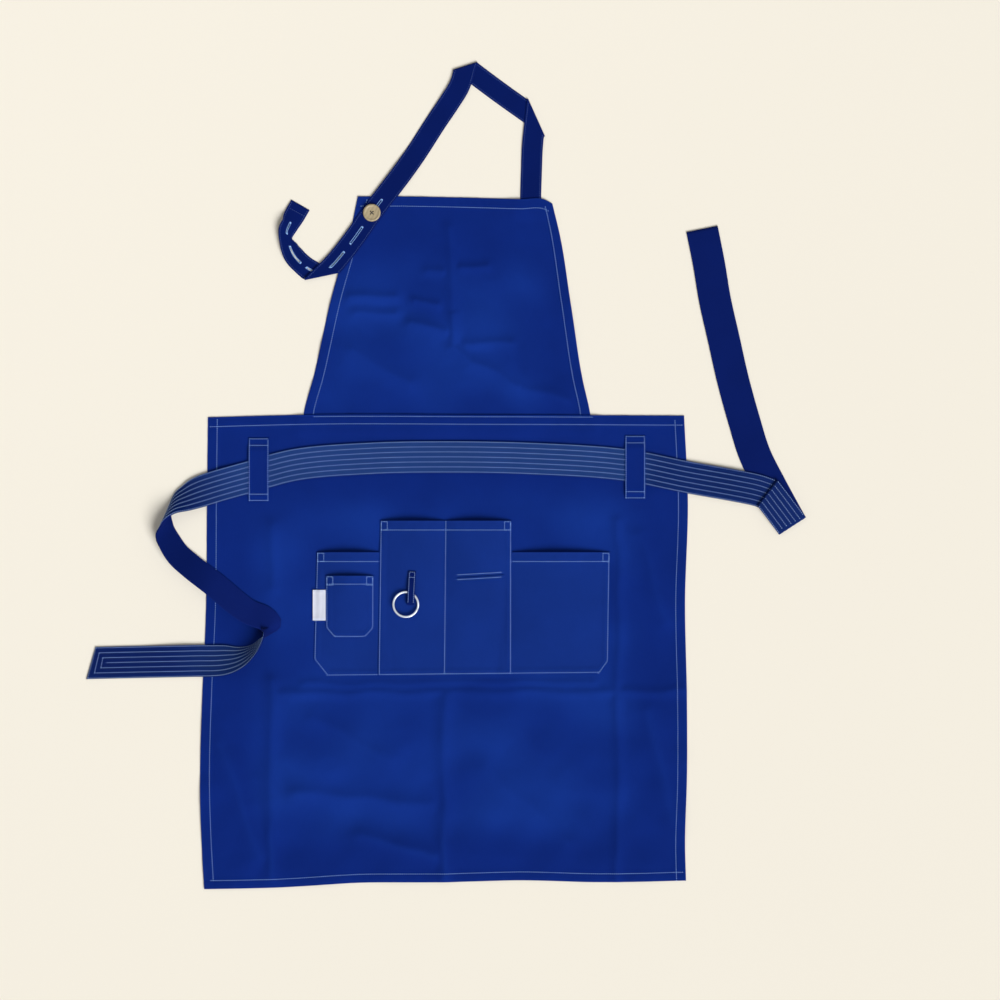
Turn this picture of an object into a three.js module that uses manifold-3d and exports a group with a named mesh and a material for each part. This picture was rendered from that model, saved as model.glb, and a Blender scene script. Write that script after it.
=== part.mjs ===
// Artist apron laid flat, front up: sewn canvas sheets, a long stitched belt, a buttoned neck strap and trims.
// Millimetres. The pattern is drawn from the middle of the waist seam: +X to the right as the front is seen,
// +Y towards the bib, +Z up off the ground. The finished group is moved to stand on the middle of its box.
import * as THREE from 'three';
import { mergeVertices } from 'three/addons/utils/BufferGeometryUtils.js';
import Module from 'manifold-3d';

const wasm = await Module();
wasm.setup();

const { lerp, smoothstep, degToRad } = THREE.MathUtils;
const UP = new THREE.Vector3(0, 0, 1);

// Driving dimensions
const SKIRT_WIDTH = 762;
const SKIRT_LENGTH = 745;
const BIB_HEIGHT = 350;
const BIB_TUCK = 19;
const CANVAS = 1.0;
const GAP = 0.3;
const HEM_EXTRA = 0.6;
const HEM_STEP = 2;
const SIDE_HEM = 16;
const BOTTOM_HEM = 14.5;
const WAIST_HEM = 16;
const MOUTH_HEM = 16;
const BELT_WIDTH = 51;
const BELT_THICKNESS = 2.4;
const NECK_WIDTH = 33.5;
const NECK_THICKNESS = 1.6;
const LOOP_WIDTH = 33;
const LOOP_THICKNESS = 1.2;
const LOOP_X = 300;
const POCKET_BULGE = 8;
const PATCH_BULGE = 6.5;
const BUTTON_RADIUS = 14;
const BUTTON_THICKNESS = 4;
const RING_OUTER_RADIUS = 21.3;
const RING_WIRE_RADIUS = 1.6;
const KEY_LOOP_WIDTH = 12;
const KEY_LOOP_THICKNESS = 0.9;

const HEM_TOP = CANVAS + HEM_EXTRA;
const ON_CLOTH = HEM_TOP + GAP;

// Bow of the skirt's side edges, outwards from the straight cut
const SKIRT_SIDES = [
  { y: 0, left: 0, right: -3 },
  { y: -134, left: 1.5, right: 3 },
  { y: -301, left: 3, right: -1.5 },
  { y: -453, left: 9.5, right: 1.5 },
  { y: -580, left: 12.5, right: 1.5 },
  { y: -684, left: 9.5, right: -1.5 },
  { y: -SKIRT_LENGTH, left: 6, right: 0 },
];
// How far the bottom hem hangs below its straight cut
const SKIRT_HEM = [
  { x: -381, drop: 9 },
  { x: -270, drop: 6.5 },
  { x: -140, drop: -1 },
  { x: 0, drop: -2 },
  { x: 115, drop: -5 },
  { x: 245, drop: -2 },
  { x: 381, drop: -4.5 },
];
// Rise of the waist edge above its straight cut
const WAIST_EDGE = [
  { x: -381, rise: -2 },
  { x: -226, rise: 2 },
  { x: 60, rise: 2 },
  { x: 381, rise: 0.6 },
];
// Sides of the bib from its top edge to the strip tucked behind the skirt
const BIB_SIDES = [
  { y: BIB_HEIGHT, left: -142, right: 168 },
  { y: 306, left: -151.5, right: 178.5 },
  { y: 185, left: -185, right: 197.5 },
  { y: 57, left: -214, right: 217 },
  { y: 6, left: -228, right: 228 },
  { y: -BIB_TUCK, left: -231, right: 231 },
];
// Rise of the bib's top edge above its straight cut
const BIB_TOP = [
  { x: -142, rise: 0 },
  { x: -75, rise: 0 },
  { x: 7, rise: -1.4 },
  { x: 117, rise: -4.4 },
  { x: 157, rise: -5.6 },
  { x: 168, rise: -11.5 },
];
// Packing creases and soft wrinkles, each a ridge from one point to another
const SKIRT_CREASES = [
  { x1: -279, y1: -172, x2: -279, y2: -275, width: 11, height: 2.6 },
  { x1: -279, y1: -425, x2: -281, y2: -735, width: 11, height: 3.6 },
  { x1: -3, y1: -446, x2: -4, y2: -735, width: 12, height: 3.8 },
  { x1: 274, y1: -165, x2: 273, y2: -735, width: 8, height: 3.0 },
  { x1: -230, y1: -428, x2: 235, y2: -424, width: 6, height: 2.0 },
  { x1: -270, y1: -442, x2: 378, y2: -439, width: 8, height: 2.6 },
  { x1: -242, y1: -600, x2: -30, y2: -618, width: 14, height: 3.2 },
  { x1: -140, y1: -668, x2: -20, y2: -702, width: 14, height: 3.6 },
  { x1: 60, y1: -560, x2: 190, y2: -676, width: 20, height: 3.4 },
  { x1: -360, y1: -520, x2: -300, y2: -700, width: 18, height: 3.2 },
  { x1: 318, y1: -470, x2: 362, y2: -640, width: 18, height: 3.2 },
  { x1: -210, y1: -480, x2: -90, y2: -545, width: 18, height: 2.8 },
  { x1: 306, y1: -190, x2: 352, y2: -330, width: 15, height: 2.8 },
];
const BIB_CREASES = [
  { x1: 5, y1: 300, x2: 8, y2: 160, width: 10, height: 2.2 },
  { x1: 9, y1: 160, x2: 8, y2: 113, width: 9, height: 3.4 },
  { x1: 8, y1: 113, x2: 37, y2: 86, width: 10, height: 3.6 },
  { x1: 37, y1: 86, x2: 116, y2: 49, width: 12, height: 3.6 },
  { x1: 116, y1: 49, x2: 190, y2: 22, width: 12, height: 3.0 },
  { x1: 30, y1: 117, x2: 100, y2: 114, width: 9, height: 2.6 },
  { x1: -155, y1: 188, x2: -84, y2: 190, width: 9, height: 3.0 },
  { x1: -52, y1: 184, x2: -16, y2: 176, width: 8, height: 2.8 },
  { x1: -147, y1: 164, x2: -84, y2: 163, width: 9, height: 2.8 },
  { x1: -59, y1: 147, x2: -4, y2: 136, width: 9, height: 3.0 },
  { x1: 22, y1: 238, x2: 62, y2: 236, width: 9, height: 2.6 },
  { x1: -30, y1: 233, x2: -8, y2: 231, width: 8, height: 2.4 },
  { x1: -150, y1: 105, x2: -62, y2: 52, width: 15, height: 3.0 },
];

// Pocket outlines: sides, mouth and base, the base's tilt, the sides' lean and the cut-off lower corners
const BASE = { base: -412.6, tilt: 0.0105 };
const CENTRE_POCKET = { left: -106.4, right: 103.1, mouth: -166.6, ...BASE, leanLeft: 0.0133, seam: -2.4 };
const SIDE_LEFT = {
  left: -207.6, right: -106.8, mouth: -216.8, ...BASE,
  leanLeft: 0.0265, cutX: 21, cutY: 25.5,
};
const SIDE_RIGHT = {
  left: 103.1, right: 259.9, mouth: -216.8, ...BASE,
  leanRight: 0.0146, cutX: 15.6, cutY: 22.2,
};
const PATCH = { left: -192.9, right: -116.4, mouth: -254.2, base: -352.8, cutX: 14, cutY: 15.5 };
const POCKET_TUCK = 10;
const PEN_SLIT = { x: 53.3, y: -254.7, length: 72.6, height: 0.6, degrees: 3.3 };
const LABEL = { left: -214, right: PATCH.left - GAP, top: -277, bottom: -325.8 };
const BUTTON_AT = { x: -119.6, y: 323.6 };
const RING_AT = { x: -65.4, y: -300.1 };

// Belt from its slanted left end, over two soft turns and along the front, to the small pleat on the right.
// Rest is the height it lies on. Roll turns it about its own line: 0 front up, -90 on edge, -180 back up.
// Skew slants its cross line along it, and rise is the share of its width that it stands up by on edge.
const BELT_FRONT = [
  { x: -567.5, y: -393.7, rest: 0 },
  { x: -489.4, y: -392, rest: 0 },
  { x: -402, y: -390.2, rest: ON_CLOTH },
  { x: -358.7, y: -389.2, rest: ON_CLOTH, roll: -16, rise: 0.9 },
  { x: -330, y: -384.5, rest: ON_CLOTH, roll: -48, rise: 0.7 },
  { x: -307.6, y: -372.2, rest: ON_CLOTH, roll: -72, rise: 0.6 },
  { x: -294.9, y: -357.1, rest: ON_CLOTH, roll: -84, rise: 0.55 },
  { x: -284.5, y: -344.5, rest: ON_CLOTH, roll: -102, skew: 0.1, rise: 0.55 },
  { x: -279, y: -333, rest: ON_CLOTH, roll: -128, skew: 0.25, rise: 0.55 },
  { x: -289.5, y: -322.5, rest: ON_CLOTH, roll: -137, skew: 0.15, rise: 0.55 },
  { x: -317, y: -311, rest: ON_CLOTH, roll: -139, rise: 0.55 },
  { x: -370.4, y: -268.3, rest: ON_CLOTH, roll: -140, rise: 0.55 },
  { x: -408, y: -239, rest: ON_CLOTH, roll: -140, rise: 0.5 },
  { x: -428, y: -221, rest: 0.6, roll: -138, rise: 0.5 },
  { x: -442.5, y: -199, rest: 0, roll: -134, skew: 0.1, rise: 0.5 },
  { x: -449.5, y: -183.6, rest: 0, roll: -126, skew: 0.25, rise: 0.5 },
  { x: -447, y: -156, rest: 0, roll: -90, skew: 0.7, rise: 0.5 },
  { x: -434, y: -139, rest: 1.2, roll: -60, skew: 0.5, rise: 0.5 },
  { x: -412, y: -128, rest: ON_CLOTH, roll: -30, skew: 0.25, rise: 0.6 },
  { x: -375, y: -114.5, rest: ON_CLOTH },
  { x: -317.2, y: -98, rest: ON_CLOTH },
  { x: -240.7, y: -77.5, rest: ON_CLOTH },
  { x: -122.7, y: -67.5, rest: ON_CLOTH },
  { x: -6.4, y: -65.2, rest: ON_CLOTH },
  { x: 132.3, y: -67.7, rest: ON_CLOTH },
  { x: 280.5, y: -77.6, rest: ON_CLOTH },
  { x: 384.2, y: -97.7, rest: 2.4 },
  { x: 459, y: -111, rest: 3.2 },
  { x: 495, y: -118.5, rest: 3.2 },
  { x: 516.5, y: -126.2, rest: 3.2 },
];
// The pleat turns straight back for a few millimetres, and the belt then goes on at an angle to its end fold
const BELT_PLEAT = [
  { x: 516.5, y: -126.2, rest: 5.9 },
  { x: 511.9, y: -124.3, rest: 5.9 },
];
const BELT_FOLDED = [
  { x: 511.9, y: -124.3, rest: 8.6 },
  { x: 527, y: -144, rest: 8.6 },
  { x: 549.1, y: -173, rest: 4 },
];
// Belt's right tail, turned back under itself, back up
const BELT_TAIL = [
  { x: 549.1, y: -173, rest: 0 },
  { x: 517, y: -114, rest: 0 },
  { x: 491, y: -62.2, rest: 0 },
  { x: 473.4, y: -6.4, rest: 0 },
  { x: 455.9, y: 57.4, rest: 0 },
  { x: 441.5, y: 121.1, rest: 0 },
  { x: 427.2, y: 184.9, rest: 0 },
  { x: 417.6, y: 242.3, rest: 0 },
  { x: 406.5, y: 298.1, rest: 0 },
];
const BELT_END_SLANT = 0.31;

// Neck strap from its end sewn behind the bib, over three flat folds and a soft turn, to its free end
const OVER = NECK_THICKNESS + 0.6;
const NECK_RISER = [
  { x: 133.1, y: 330, rest: 0 },
  { x: 133.4, y: 349, rest: 0 },
  { x: 134.7, y: 392, rest: 0 },
  { x: 136.3, y: 430, rest: 1.2 },
  { x: 141.1, y: 475, rest: OVER },
];
const NECK_CROSSING = [
  { x: 141.1, y: 475, rest: 0 },
  { x: 84.5, y: 515.2, rest: 0 },
  { x: 29.5, y: 556.3, rest: 0 },
];
const NECK_FALL = [
  { x: 29.5, y: 556.3, rest: OVER },
  { x: 19.9, y: 526, rest: OVER },
  { x: 4.8, y: 501, rest: 1.4 },
  { x: -17.5, y: 468, rest: 0 },
  { x: -47.8, y: 420.8, rest: 0 },
  { x: -70, y: 389, rest: ON_CLOTH },
  { x: -89.3, y: 363.4, rest: ON_CLOTH },
  { x: -119.6, y: 323.6, rest: ON_CLOTH },
  { x: -144.3, y: 287.7, rest: ON_CLOTH },
  { x: -174.5, y: 248.7, rest: ON_CLOTH },
  { x: -198, y: 224.2, rest: ON_CLOTH + OVER },
];
const NECK_RETURN = [
  { x: -198, y: 224.2, rest: ON_CLOTH },
  { x: -214.5, y: 231.2, rest: 0, rise: 0.4 },
  { x: -229.5, y: 240.8, rest: 0, roll: 8, rise: 0.4 },
  { x: -243.7, y: 255.7, rest: 0, roll: 14, rise: 0.4 },
  { x: -252.3, y: 276.4, rest: 0, roll: 38, skew: -0.5, rise: 0.4 },
  { x: -255.4, y: 292.9, rest: 0, roll: 49, skew: -0.75, rise: 0.4 },
  { x: -250.5, y: 306, rest: 0, roll: 30, skew: -0.35, rise: 0.4 },
  { x: -243, y: 319.5, rest: 0, roll: 8, rise: 0.4 },
  { x: -233.3, y: 336.4, rest: 0 },
];
// Buttonholes along the neck strap: middle, height, direction in degrees, length and depth of the cut
const BUTTONHOLES = [
  { x: -114.4, y: 330.9, z: ON_CLOTH + 0.8, angle: 54.5, length: 31, depth: 1.9 },
  { x: -144.3, y: 287.7, z: ON_CLOTH + 0.8, angle: 55, length: 31, depth: 1.9 },
  { x: -174.5, y: 248.7, z: ON_CLOTH + 0.8, angle: 51, length: 31, depth: 1.9 },
  { x: -214.5, y: 231.2, z: 0.8, angle: -27, length: 20, depth: 1.9 },
  { x: -243.7, y: 255.7, z: 2.4, angle: -52, length: 30, depth: 6 },
  { x: -252.8, y: 300, z: 4.7, angle: 69, length: 17, depth: 5 },
];
const BUTTONHOLE_WIDTH = 1.8;

const COLOURS = {
  canvas: 0x102b7c,
  pocket: 0x153182,
  strap: 0x0b1f5e,
  belt: 0x2f4984,
  wood: 0xa79879,
  steel: 0xc4cad6,
  thread: 0x1b2236,
  label: 0xdfe2ea,
};

function cloth(colour) {
  return new THREE.MeshStandardMaterial({ color: colour, roughness: 0.9, metalness: 0 });
}

// Value of one column of a table at a place between its rows
function readTable(rows, by, column, at) {
  const ascending = [...rows].sort((a, b) => a[by] - b[by]);
  const next = ascending.findIndex((row) => row[by] >= at);
  if (next === 0) return ascending[0][column];
  if (next < 0) return ascending[ascending.length - 1][column];
  const low = ascending[next - 1];
  const high = ascending[next];
  return lerp(low[column], high[column], (at - low[by]) / (high[by] - low[by]));
}

// Height of the crease ridges at a point, flat where they have died away
function creaseHeight(creases, x, y) {
  let height = 0;
  for (const crease of creases) {
    const runX = crease.x2 - crease.x1;
    const runY = crease.y2 - crease.y1;
    const along = ((x - crease.x1) * runX + (y - crease.y1) * runY) / (runX * runX + runY * runY);
    const near = THREE.MathUtils.clamp(along, 0, 1);
    const away = Math.hypot(x - crease.x1 - near * runX, y - crease.y1 - near * runY);
    height = Math.max(height, crease.height * Math.exp(-((away / crease.width) ** 2)));
  }
  return height < 0.03 ? 0 : height;
}

// 1 inside a box, falling to 0 over a distance outside it
function plateau(x, y, box, fall) {
  const outX = Math.max(box.left - x, 0, x - box.right);
  const outY = Math.max(box.bottom - y, 0, y - box.top);
  return 1 - smoothstep(Math.hypot(outX, outY), 0, fall);
}

function indexedGeometry(positions, index) {
  const geometry = new THREE.BufferGeometry();
  geometry.setAttribute('position', new THREE.Float32BufferAttribute(positions, 3));
  geometry.setIndex(index);
  return geometry;
}

// Grid lines over a length, as fractions: hem edges, marked places, and even steps between them
function gridLines(length, step, hems, marks) {
  const fixed = [0, length, ...marks];
  if (hems[0] > 0) fixed.push(hems[0], hems[0] + HEM_STEP);
  if (hems[1] > 0) fixed.push(length - hems[1], length - hems[1] - HEM_STEP);
  fixed.sort((a, b) => a - b);
  const lines = [0];
  for (let i = 1; i < fixed.length; i += 1) {
    const span = fixed[i] - fixed[i - 1];
    const count = span < 0.5 ? 0 : Math.max(1, Math.round(span / step));
    for (let n = 1; n <= count; n += 1) {
      lines.push((fixed[i - 1] + (span * n) / count) / length);
    }
  }
  return lines;
}

// A cloth sheet over a grid, between edges given as functions, with doubled cloth along its hems
function clothSheet(sheet) {
  const { x0, y0, width, height, left, right, bottom, top, hems, under } = sheet;
  const columns = gridLines(width, sheet.step, [hems.left, hems.right], sheet.marksAcross ?? []);
  const rows = gridLines(height, sheet.step, [hems.bottom, hems.top], sheet.marksUp ?? []);
  const slack = 0.5;
  const within = (distance, hem) => hem > 0 && distance < hem + slack;
  const inHem = (u, v) => within(u * width, hems.left) || within((1 - u) * width, hems.right)
    || within(v * height, hems.bottom) || within((1 - v) * height, hems.top);
  const positions = [];
  for (const layer of ['top', 'underside']) {
    for (const v of rows) {
      for (const u of columns) {
        const x = lerp(left(y0 + v * height), right(y0 + v * height), u);
        const y = lerp(bottom(x0 + u * width), top(x0 + u * width), v);
        const thick = inHem(u, v) ? HEM_TOP : CANVAS;
        positions.push(x, y, under(x, y) + (layer === 'top' ? thick : 0));
      }
    }
  }
  const across = columns.length;
  const up = rows.length;
  const at = (i, j) => j * across + i;
  const below = across * up;
  const index = [];
  const quad = (a, b, c, d) => index.push(a, b, c, a, c, d);
  const rim = [];
  for (let j = 0; j < up - 1; j += 1) {
    for (let i = 0; i < across - 1; i += 1) {
      quad(at(i, j), at(i + 1, j), at(i + 1, j + 1), at(i, j + 1));
      quad(below + at(i, j), below + at(i, j + 1), below + at(i + 1, j + 1), below + at(i + 1, j));
    }
  }
  for (let i = 0; i < across - 1; i += 1) rim.push(at(i, 0));
  for (let j = 0; j < up - 1; j += 1) rim.push(at(across - 1, j));
  for (let i = across - 1; i > 0; i -= 1) rim.push(at(i, up - 1));
  for (let j = up - 1; j > 0; j -= 1) rim.push(at(0, j));
  rim.forEach((here, n) => {
    const next = rim[(n + 1) % rim.length];
    quad(below + here, below + next, next, here);
  });
  return indexedGeometry(positions, index);
}

// Stations along one stretch of strap, evenly spaced through its table of rows
function stretchStations(rows, spacing) {
  const points = rows.map((row) => new THREE.Vector3(row.x, row.y, 0));
  const path = new THREE.CatmullRomCurve3(points, false, 'centripetal');
  const last = rows.length - 1;
  const stations = [];
  for (let i = 0; i < last; i += 1) {
    const count = Math.max(1, Math.round(points[i].distanceTo(points[i + 1]) / spacing));
    for (let n = i === 0 ? 0 : 1; n <= count; n += 1) {
      const part = n / count;
      stations.push({
        centre: path.getPoint((i + part) / last),
        heading: path.getTangent((i + part) / last),
        rest: lerp(rows[i].rest, rows[i + 1].rest, part),
        roll: degToRad(lerp(rows[i].roll ?? 0, rows[i + 1].roll ?? 0, part)),
        lean: lerp(rows[i].skew ?? 0, rows[i + 1].skew ?? 0, part),
        rise: lerp(rows[i].rise ?? 1, rows[i + 1].rise ?? 1, part),
      });
    }
  }
  stations.forEach((station, n) => {
    const before = stations[n - 1];
    station.along = n === 0 ? 0 : before.along + station.centre.distanceTo(before.centre);
  });
  return stations;
}

// Skew of the cross line that makes it lie along the fold between two headings
function foldSkew(incoming, outgoing, side) {
  const line = incoming.clone().add(outgoing);
  const straightBack = line.length() < 1e-6;
  return straightBack ? 0 : line.dot(incoming) / line.dot(side);
}

// A flat strap through stretches joined by flat folds, as one closed solid
function strapSolid({ stretches, width, thickness, spacing, startSkew = 0 }) {
  const runs = stretches.map((rows) => stretchStations(rows, spacing));
  const sections = [];
  let face = 1;
  let skewIn = startSkew;
  runs.forEach((run, n) => {
    const end = run[run.length - 1];
    const next = runs[n + 1];
    const easing = Math.min(1.2 * width, end.along);
    const sideOf = (heading) => UP.clone().cross(heading).multiplyScalar(face);
    const normalUp = UP.clone().multiplyScalar(face);
    const skewOut = next ? foldSkew(end.heading, next[0].heading, sideOf(end.heading)) : 0;
    for (const { centre, heading, rest, roll, lean, rise, along } of run) {
      const skew = lean + skewIn * Math.max(0, 1 - along / easing)
        + skewOut * Math.max(0, 1 - (end.along - along) / easing);
      const across = sideOf(heading).multiplyScalar(Math.cos(roll))
        .addScaledVector(normalUp, Math.sin(roll) * rise)
        .addScaledVector(heading, skew)
        .multiplyScalar(width / 2);
      const lift = (width * rise * Math.abs(Math.sin(roll)) + thickness * Math.abs(Math.cos(roll))) / 2;
      sections.push({
        centre: centre.clone().setZ(rest + lift),
        across,
        normal: heading.clone().cross(across).normalize(),
      });
    }
    if (!next) return;
    sections.push(...foldSections(sections[sections.length - 1], end, next[0], face));
    face = -face;
    skewIn = skewOut;
  });
  return loftStrap(sections, thickness);
}

// Sections round a fold, from the layer of one stretch to the layer of the next
function foldSections(section, end, start, face) {
  const steps = 6;
  const line = section.across.clone().normalize();
  const outward = end.heading.clone().addScaledVector(line, -end.heading.dot(line)).normalize();
  const radius = (end.rest - start.rest) / 2;
  const bend = [];
  for (let n = 1; n < steps; n += 1) {
    const angle = (Math.PI * n) / steps;
    bend.push({
      centre: section.centre.clone()
        .addScaledVector(outward, Math.abs(radius) * Math.sin(angle))
        .addScaledVector(UP, radius * (Math.cos(angle) - 1)),
      across: section.across.clone(),
      normal: UP.clone().multiplyScalar(face * Math.cos(angle))
        .addScaledVector(outward, face * Math.sign(radius) * Math.sin(angle)),
    });
  }
  return bend;
}

// Closed solid through the strap's sections, four corners each
function loftStrap(sections, thickness) {
  const positions = [];
  const corners = [[1, 1], [-1, 1], [-1, -1], [1, -1]];
  for (const { centre, across, normal } of sections) {
    for (const [sideways, upwards] of corners) {
      const corner = centre.clone().addScaledVector(across, sideways);
      positions.push(...corner.addScaledVector(normal, (upwards * thickness) / 2).toArray());
    }
  }
  const index = [0, 2, 1, 0, 3, 2];
  for (let n = 0; n < sections.length - 1; n += 1) {
    const here = n * 4;
    for (let k = 0; k < 4; k += 1) {
      const next = (k + 1) % 4;
      index.push(here + k, here + next, here + 4 + next, here + k, here + 4 + next, here + 4 + k);
    }
  }
  const cap = (sections.length - 1) * 4;
  index.push(cap, cap + 1, cap + 2, cap, cap + 2, cap + 3);
  return indexedGeometry(positions, index);
}

// Solid for joining and cutting, with shared corners merged and collapsed triangles dropped
function toSolid(source) {
  const bare = source.clone();
  bare.deleteAttribute('normal');
  bare.deleteAttribute('uv');
  const geometry = mergeVertices(bare, 1e-4);
  const index = geometry.getIndex().array;
  const kept = [];
  for (let n = 0; n < index.length; n += 3) {
    const [a, b, c] = [index[n], index[n + 1], index[n + 2]];
    if (a !== b && b !== c && c !== a) kept.push(a, b, c);
  }
  return new wasm.Manifold(new wasm.Mesh({
    numProp: 3,
    vertProperties: new Float32Array(geometry.getAttribute('position').array),
    triVerts: new Uint32Array(kept),
  }));
}

function toGeometry(solid) {
  const mesh = solid.getMesh();
  return indexedGeometry(Array.from(mesh.vertProperties), Array.from(mesh.triVerts));
}

function placedBox(width, depth, height, x, y, z, degrees = 0) {
  const box = new THREE.BoxGeometry(width, depth, height);
  box.rotateZ(degToRad(degrees));
  box.translate(x, y, z);
  return toSolid(box);
}

function uprightCylinder(radius, low, high, x, y, sides) {
  const post = new THREE.CylinderGeometry(radius, radius, high - low, sides);
  post.rotateX(Math.PI / 2);
  post.translate(x, y, (low + high) / 2);
  return toSolid(post);
}

// Surfaces that later pieces lie on
const TUCKED_BIB = { left: -234, right: 234, bottom: -BIB_TUCK - 3, top: 10 };
const SEWN_STRAP = { left: 113, right: 153, bottom: 327, top: 360 };

function skirtUnder(x, y) {
  const overBib = ON_CLOTH * plateau(x, y, TUCKED_BIB, 16);
  return Math.max(overBib, creaseHeight(SKIRT_CREASES, x, y));
}

function skirtTop(x, y) {
  return skirtUnder(x, y) + CANVAS;
}

function bibUnder(x, y) {
  const overStrap = (NECK_THICKNESS + GAP) * plateau(x, y, SEWN_STRAP, 20);
  return Math.max(overStrap, creaseHeight(BIB_CREASES, x, y));
}

// How far a pocket stands off what it is sewn to: nothing at its seams, most at its mouth
function pocketGape(x, y, left, right, pocket, bulge) {
  const across = THREE.MathUtils.clamp((x - left) / (right - left), 0, 1);
  const up = THREE.MathUtils.clamp((y - pocket.base) / (pocket.mouth - pocket.base), 0, 1);
  return bulge * Math.sin(Math.PI * across) ** 0.8 * Math.sin((Math.PI / 2) * up) ** 1.2;
}

// How far a pocket's side edge has moved at a height, for its lean
function leaned(pocket, lean, y) {
  return (pocket[lean] ?? 0) * (y - pocket.mouth);
}

function sidePocketUnder(pocket, x, y) {
  const left = pocket.left + leaned(pocket, 'leanLeft', y);
  const right = pocket.right + leaned(pocket, 'leanRight', y);
  return skirtTop(x, y) + GAP + pocketGape(x, y, left, right, pocket, POCKET_BULGE);
}

function centrePocketUnder(x, y) {
  const { right, seam } = CENTRE_POCKET;
  const left = CENTRE_POCKET.left + leaned(CENTRE_POCKET, 'leanLeft', y);
  const gape = x < seam
    ? pocketGape(x, y, left, seam, CENTRE_POCKET, POCKET_BULGE)
    : pocketGape(x, y, seam, right, CENTRE_POCKET, POCKET_BULGE);
  const inside = Math.min(x - left, right - x);
  const overTuck = (HEM_TOP + GAP) * (1 - smoothstep(inside, POCKET_TUCK + 2, POCKET_TUCK + 16));
  const besideMouth = 1 - smoothstep(y, SIDE_LEFT.mouth + 4, SIDE_LEFT.mouth + 24);
  return skirtTop(x, y) + GAP + Math.max(gape, overTuck * besideMouth);
}

function patchUnder(x, y) {
  return sidePocketUnder(SIDE_LEFT, x, y) + CANVAS + GAP
    + pocketGape(x, y, PATCH.left, PATCH.right, PATCH, PATCH_BULGE);
}

// Cloth panels
function makeSkirt() {
  const half = SKIRT_WIDTH / 2;
  const creaseMarks = [-280, -3, 274].flatMap((x) => [x - 13, x, x + 13]);
  const seamMarks = [-250, -234, 234, 250];
  return clothSheet({
    x0: -half,
    y0: -SKIRT_LENGTH,
    width: SKIRT_WIDTH,
    height: SKIRT_LENGTH,
    left: (y) => -half - readTable(SKIRT_SIDES, 'y', 'left', y),
    right: (y) => half + readTable(SKIRT_SIDES, 'y', 'right', y),
    bottom: (x) => -SKIRT_LENGTH - readTable(SKIRT_HEM, 'x', 'drop', x),
    top: (x) => readTable(WAIST_EDGE, 'x', 'rise', x),
    hems: { left: SIDE_HEM, right: SIDE_HEM, bottom: BOTTOM_HEM, top: WAIST_HEM },
    marksAcross: [...creaseMarks, ...seamMarks].map((x) => x + half),
    marksUp: [-450, -438, -426, -414, -400, -300, -145, -38].map((y) => y + SKIRT_LENGTH),
    step: 38,
    under: skirtUnder,
  });
}

function makeBib() {
  const widest = BIB_SIDES[BIB_SIDES.length - 1];
  const tall = BIB_HEIGHT + BIB_TUCK;
  const width = widest.right - widest.left;
  const topWidth = BIB_SIDES[0].right - BIB_SIDES[0].left;
  const strapMarks = [93, 113, 153].map((x) => ((x - BIB_SIDES[0].left) * width) / topWidth);
  const creaseMarks = [-8, 4, 16].map((x) => x - widest.left);
  const toTop = (x) => lerp(BIB_SIDES[0].left, BIB_SIDES[0].right, (x - widest.left) / width);
  return clothSheet({
    x0: widest.left,
    y0: -BIB_TUCK,
    width,
    height: tall,
    left: (y) => readTable(BIB_SIDES, 'y', 'left', y),
    right: (y) => readTable(BIB_SIDES, 'y', 'right', y),
    bottom: () => -BIB_TUCK,
    top: (x) => BIB_HEIGHT + readTable(BIB_TOP, 'x', 'rise', toTop(x)),
    hems: { left: SIDE_HEM, right: SIDE_HEM, bottom: 0, top: MOUTH_HEM },
    marksAcross: [...strapMarks, ...creaseMarks],
    marksUp: [305, 327].map((y) => y + BIB_TUCK),
    step: 26,
    under: bibUnder,
  });
}

// A pocket sheet with cut-off lower corners where its outline has them
function makePocket(pocket, { left, right, cutLeft, cutRight, marks, step, under }) {
  const cut = (y) => pocket.cutX * Math.max(0, 1 - (y - pocket.base) / pocket.cutY);
  return clothSheet({
    x0: left,
    y0: pocket.base,
    width: right - left,
    height: pocket.mouth - pocket.base,
    left: (y) => left + leaned(pocket, 'leanLeft', y) + (cutLeft ? cut(y) : 0),
    right: (y) => right + leaned(pocket, 'leanRight', y) - (cutRight ? cut(y) : 0),
    bottom: (x) => pocket.base + (pocket.tilt ?? 0) * x,
    top: () => pocket.mouth,
    hems: { left: 0, right: 0, bottom: 0, top: MOUTH_HEM },
    marksAcross: marks.map((x) => x - left),
    marksUp: pocket.cutY ? [pocket.cutY] : [],
    step,
    under,
  });
}

function makeSideLeft() {
  return makePocket(SIDE_LEFT, {
    left: SIDE_LEFT.left,
    right: SIDE_LEFT.right + POCKET_TUCK,
    cutLeft: true,
    cutRight: false,
    marks: [SIDE_LEFT.right],
    step: 17,
    under: (x, y) => sidePocketUnder(SIDE_LEFT, x, y),
  });
}

function makeSideRight() {
  return makePocket(SIDE_RIGHT, {
    left: SIDE_RIGHT.left - POCKET_TUCK,
    right: SIDE_RIGHT.right,
    cutLeft: false,
    cutRight: true,
    marks: [SIDE_RIGHT.left],
    step: 20,
    under: (x, y) => sidePocketUnder(SIDE_RIGHT, x, y),
  });
}

function makeCentrePocket() {
  const { left, right, seam } = CENTRE_POCKET;
  const sheet = makePocket(CENTRE_POCKET, {
    left,
    right,
    cutLeft: false,
    cutRight: false,
    marks: [left + POCKET_TUCK + 2, seam, right - POCKET_TUCK - 2],
    step: 18,
    under: centrePocketUnder,
  });
  const slit = placedBox(PEN_SLIT.length, PEN_SLIT.height, 60, PEN_SLIT.x, PEN_SLIT.y, 0, PEN_SLIT.degrees);
  return toGeometry(toSolid(sheet).subtract(slit));
}

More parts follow.
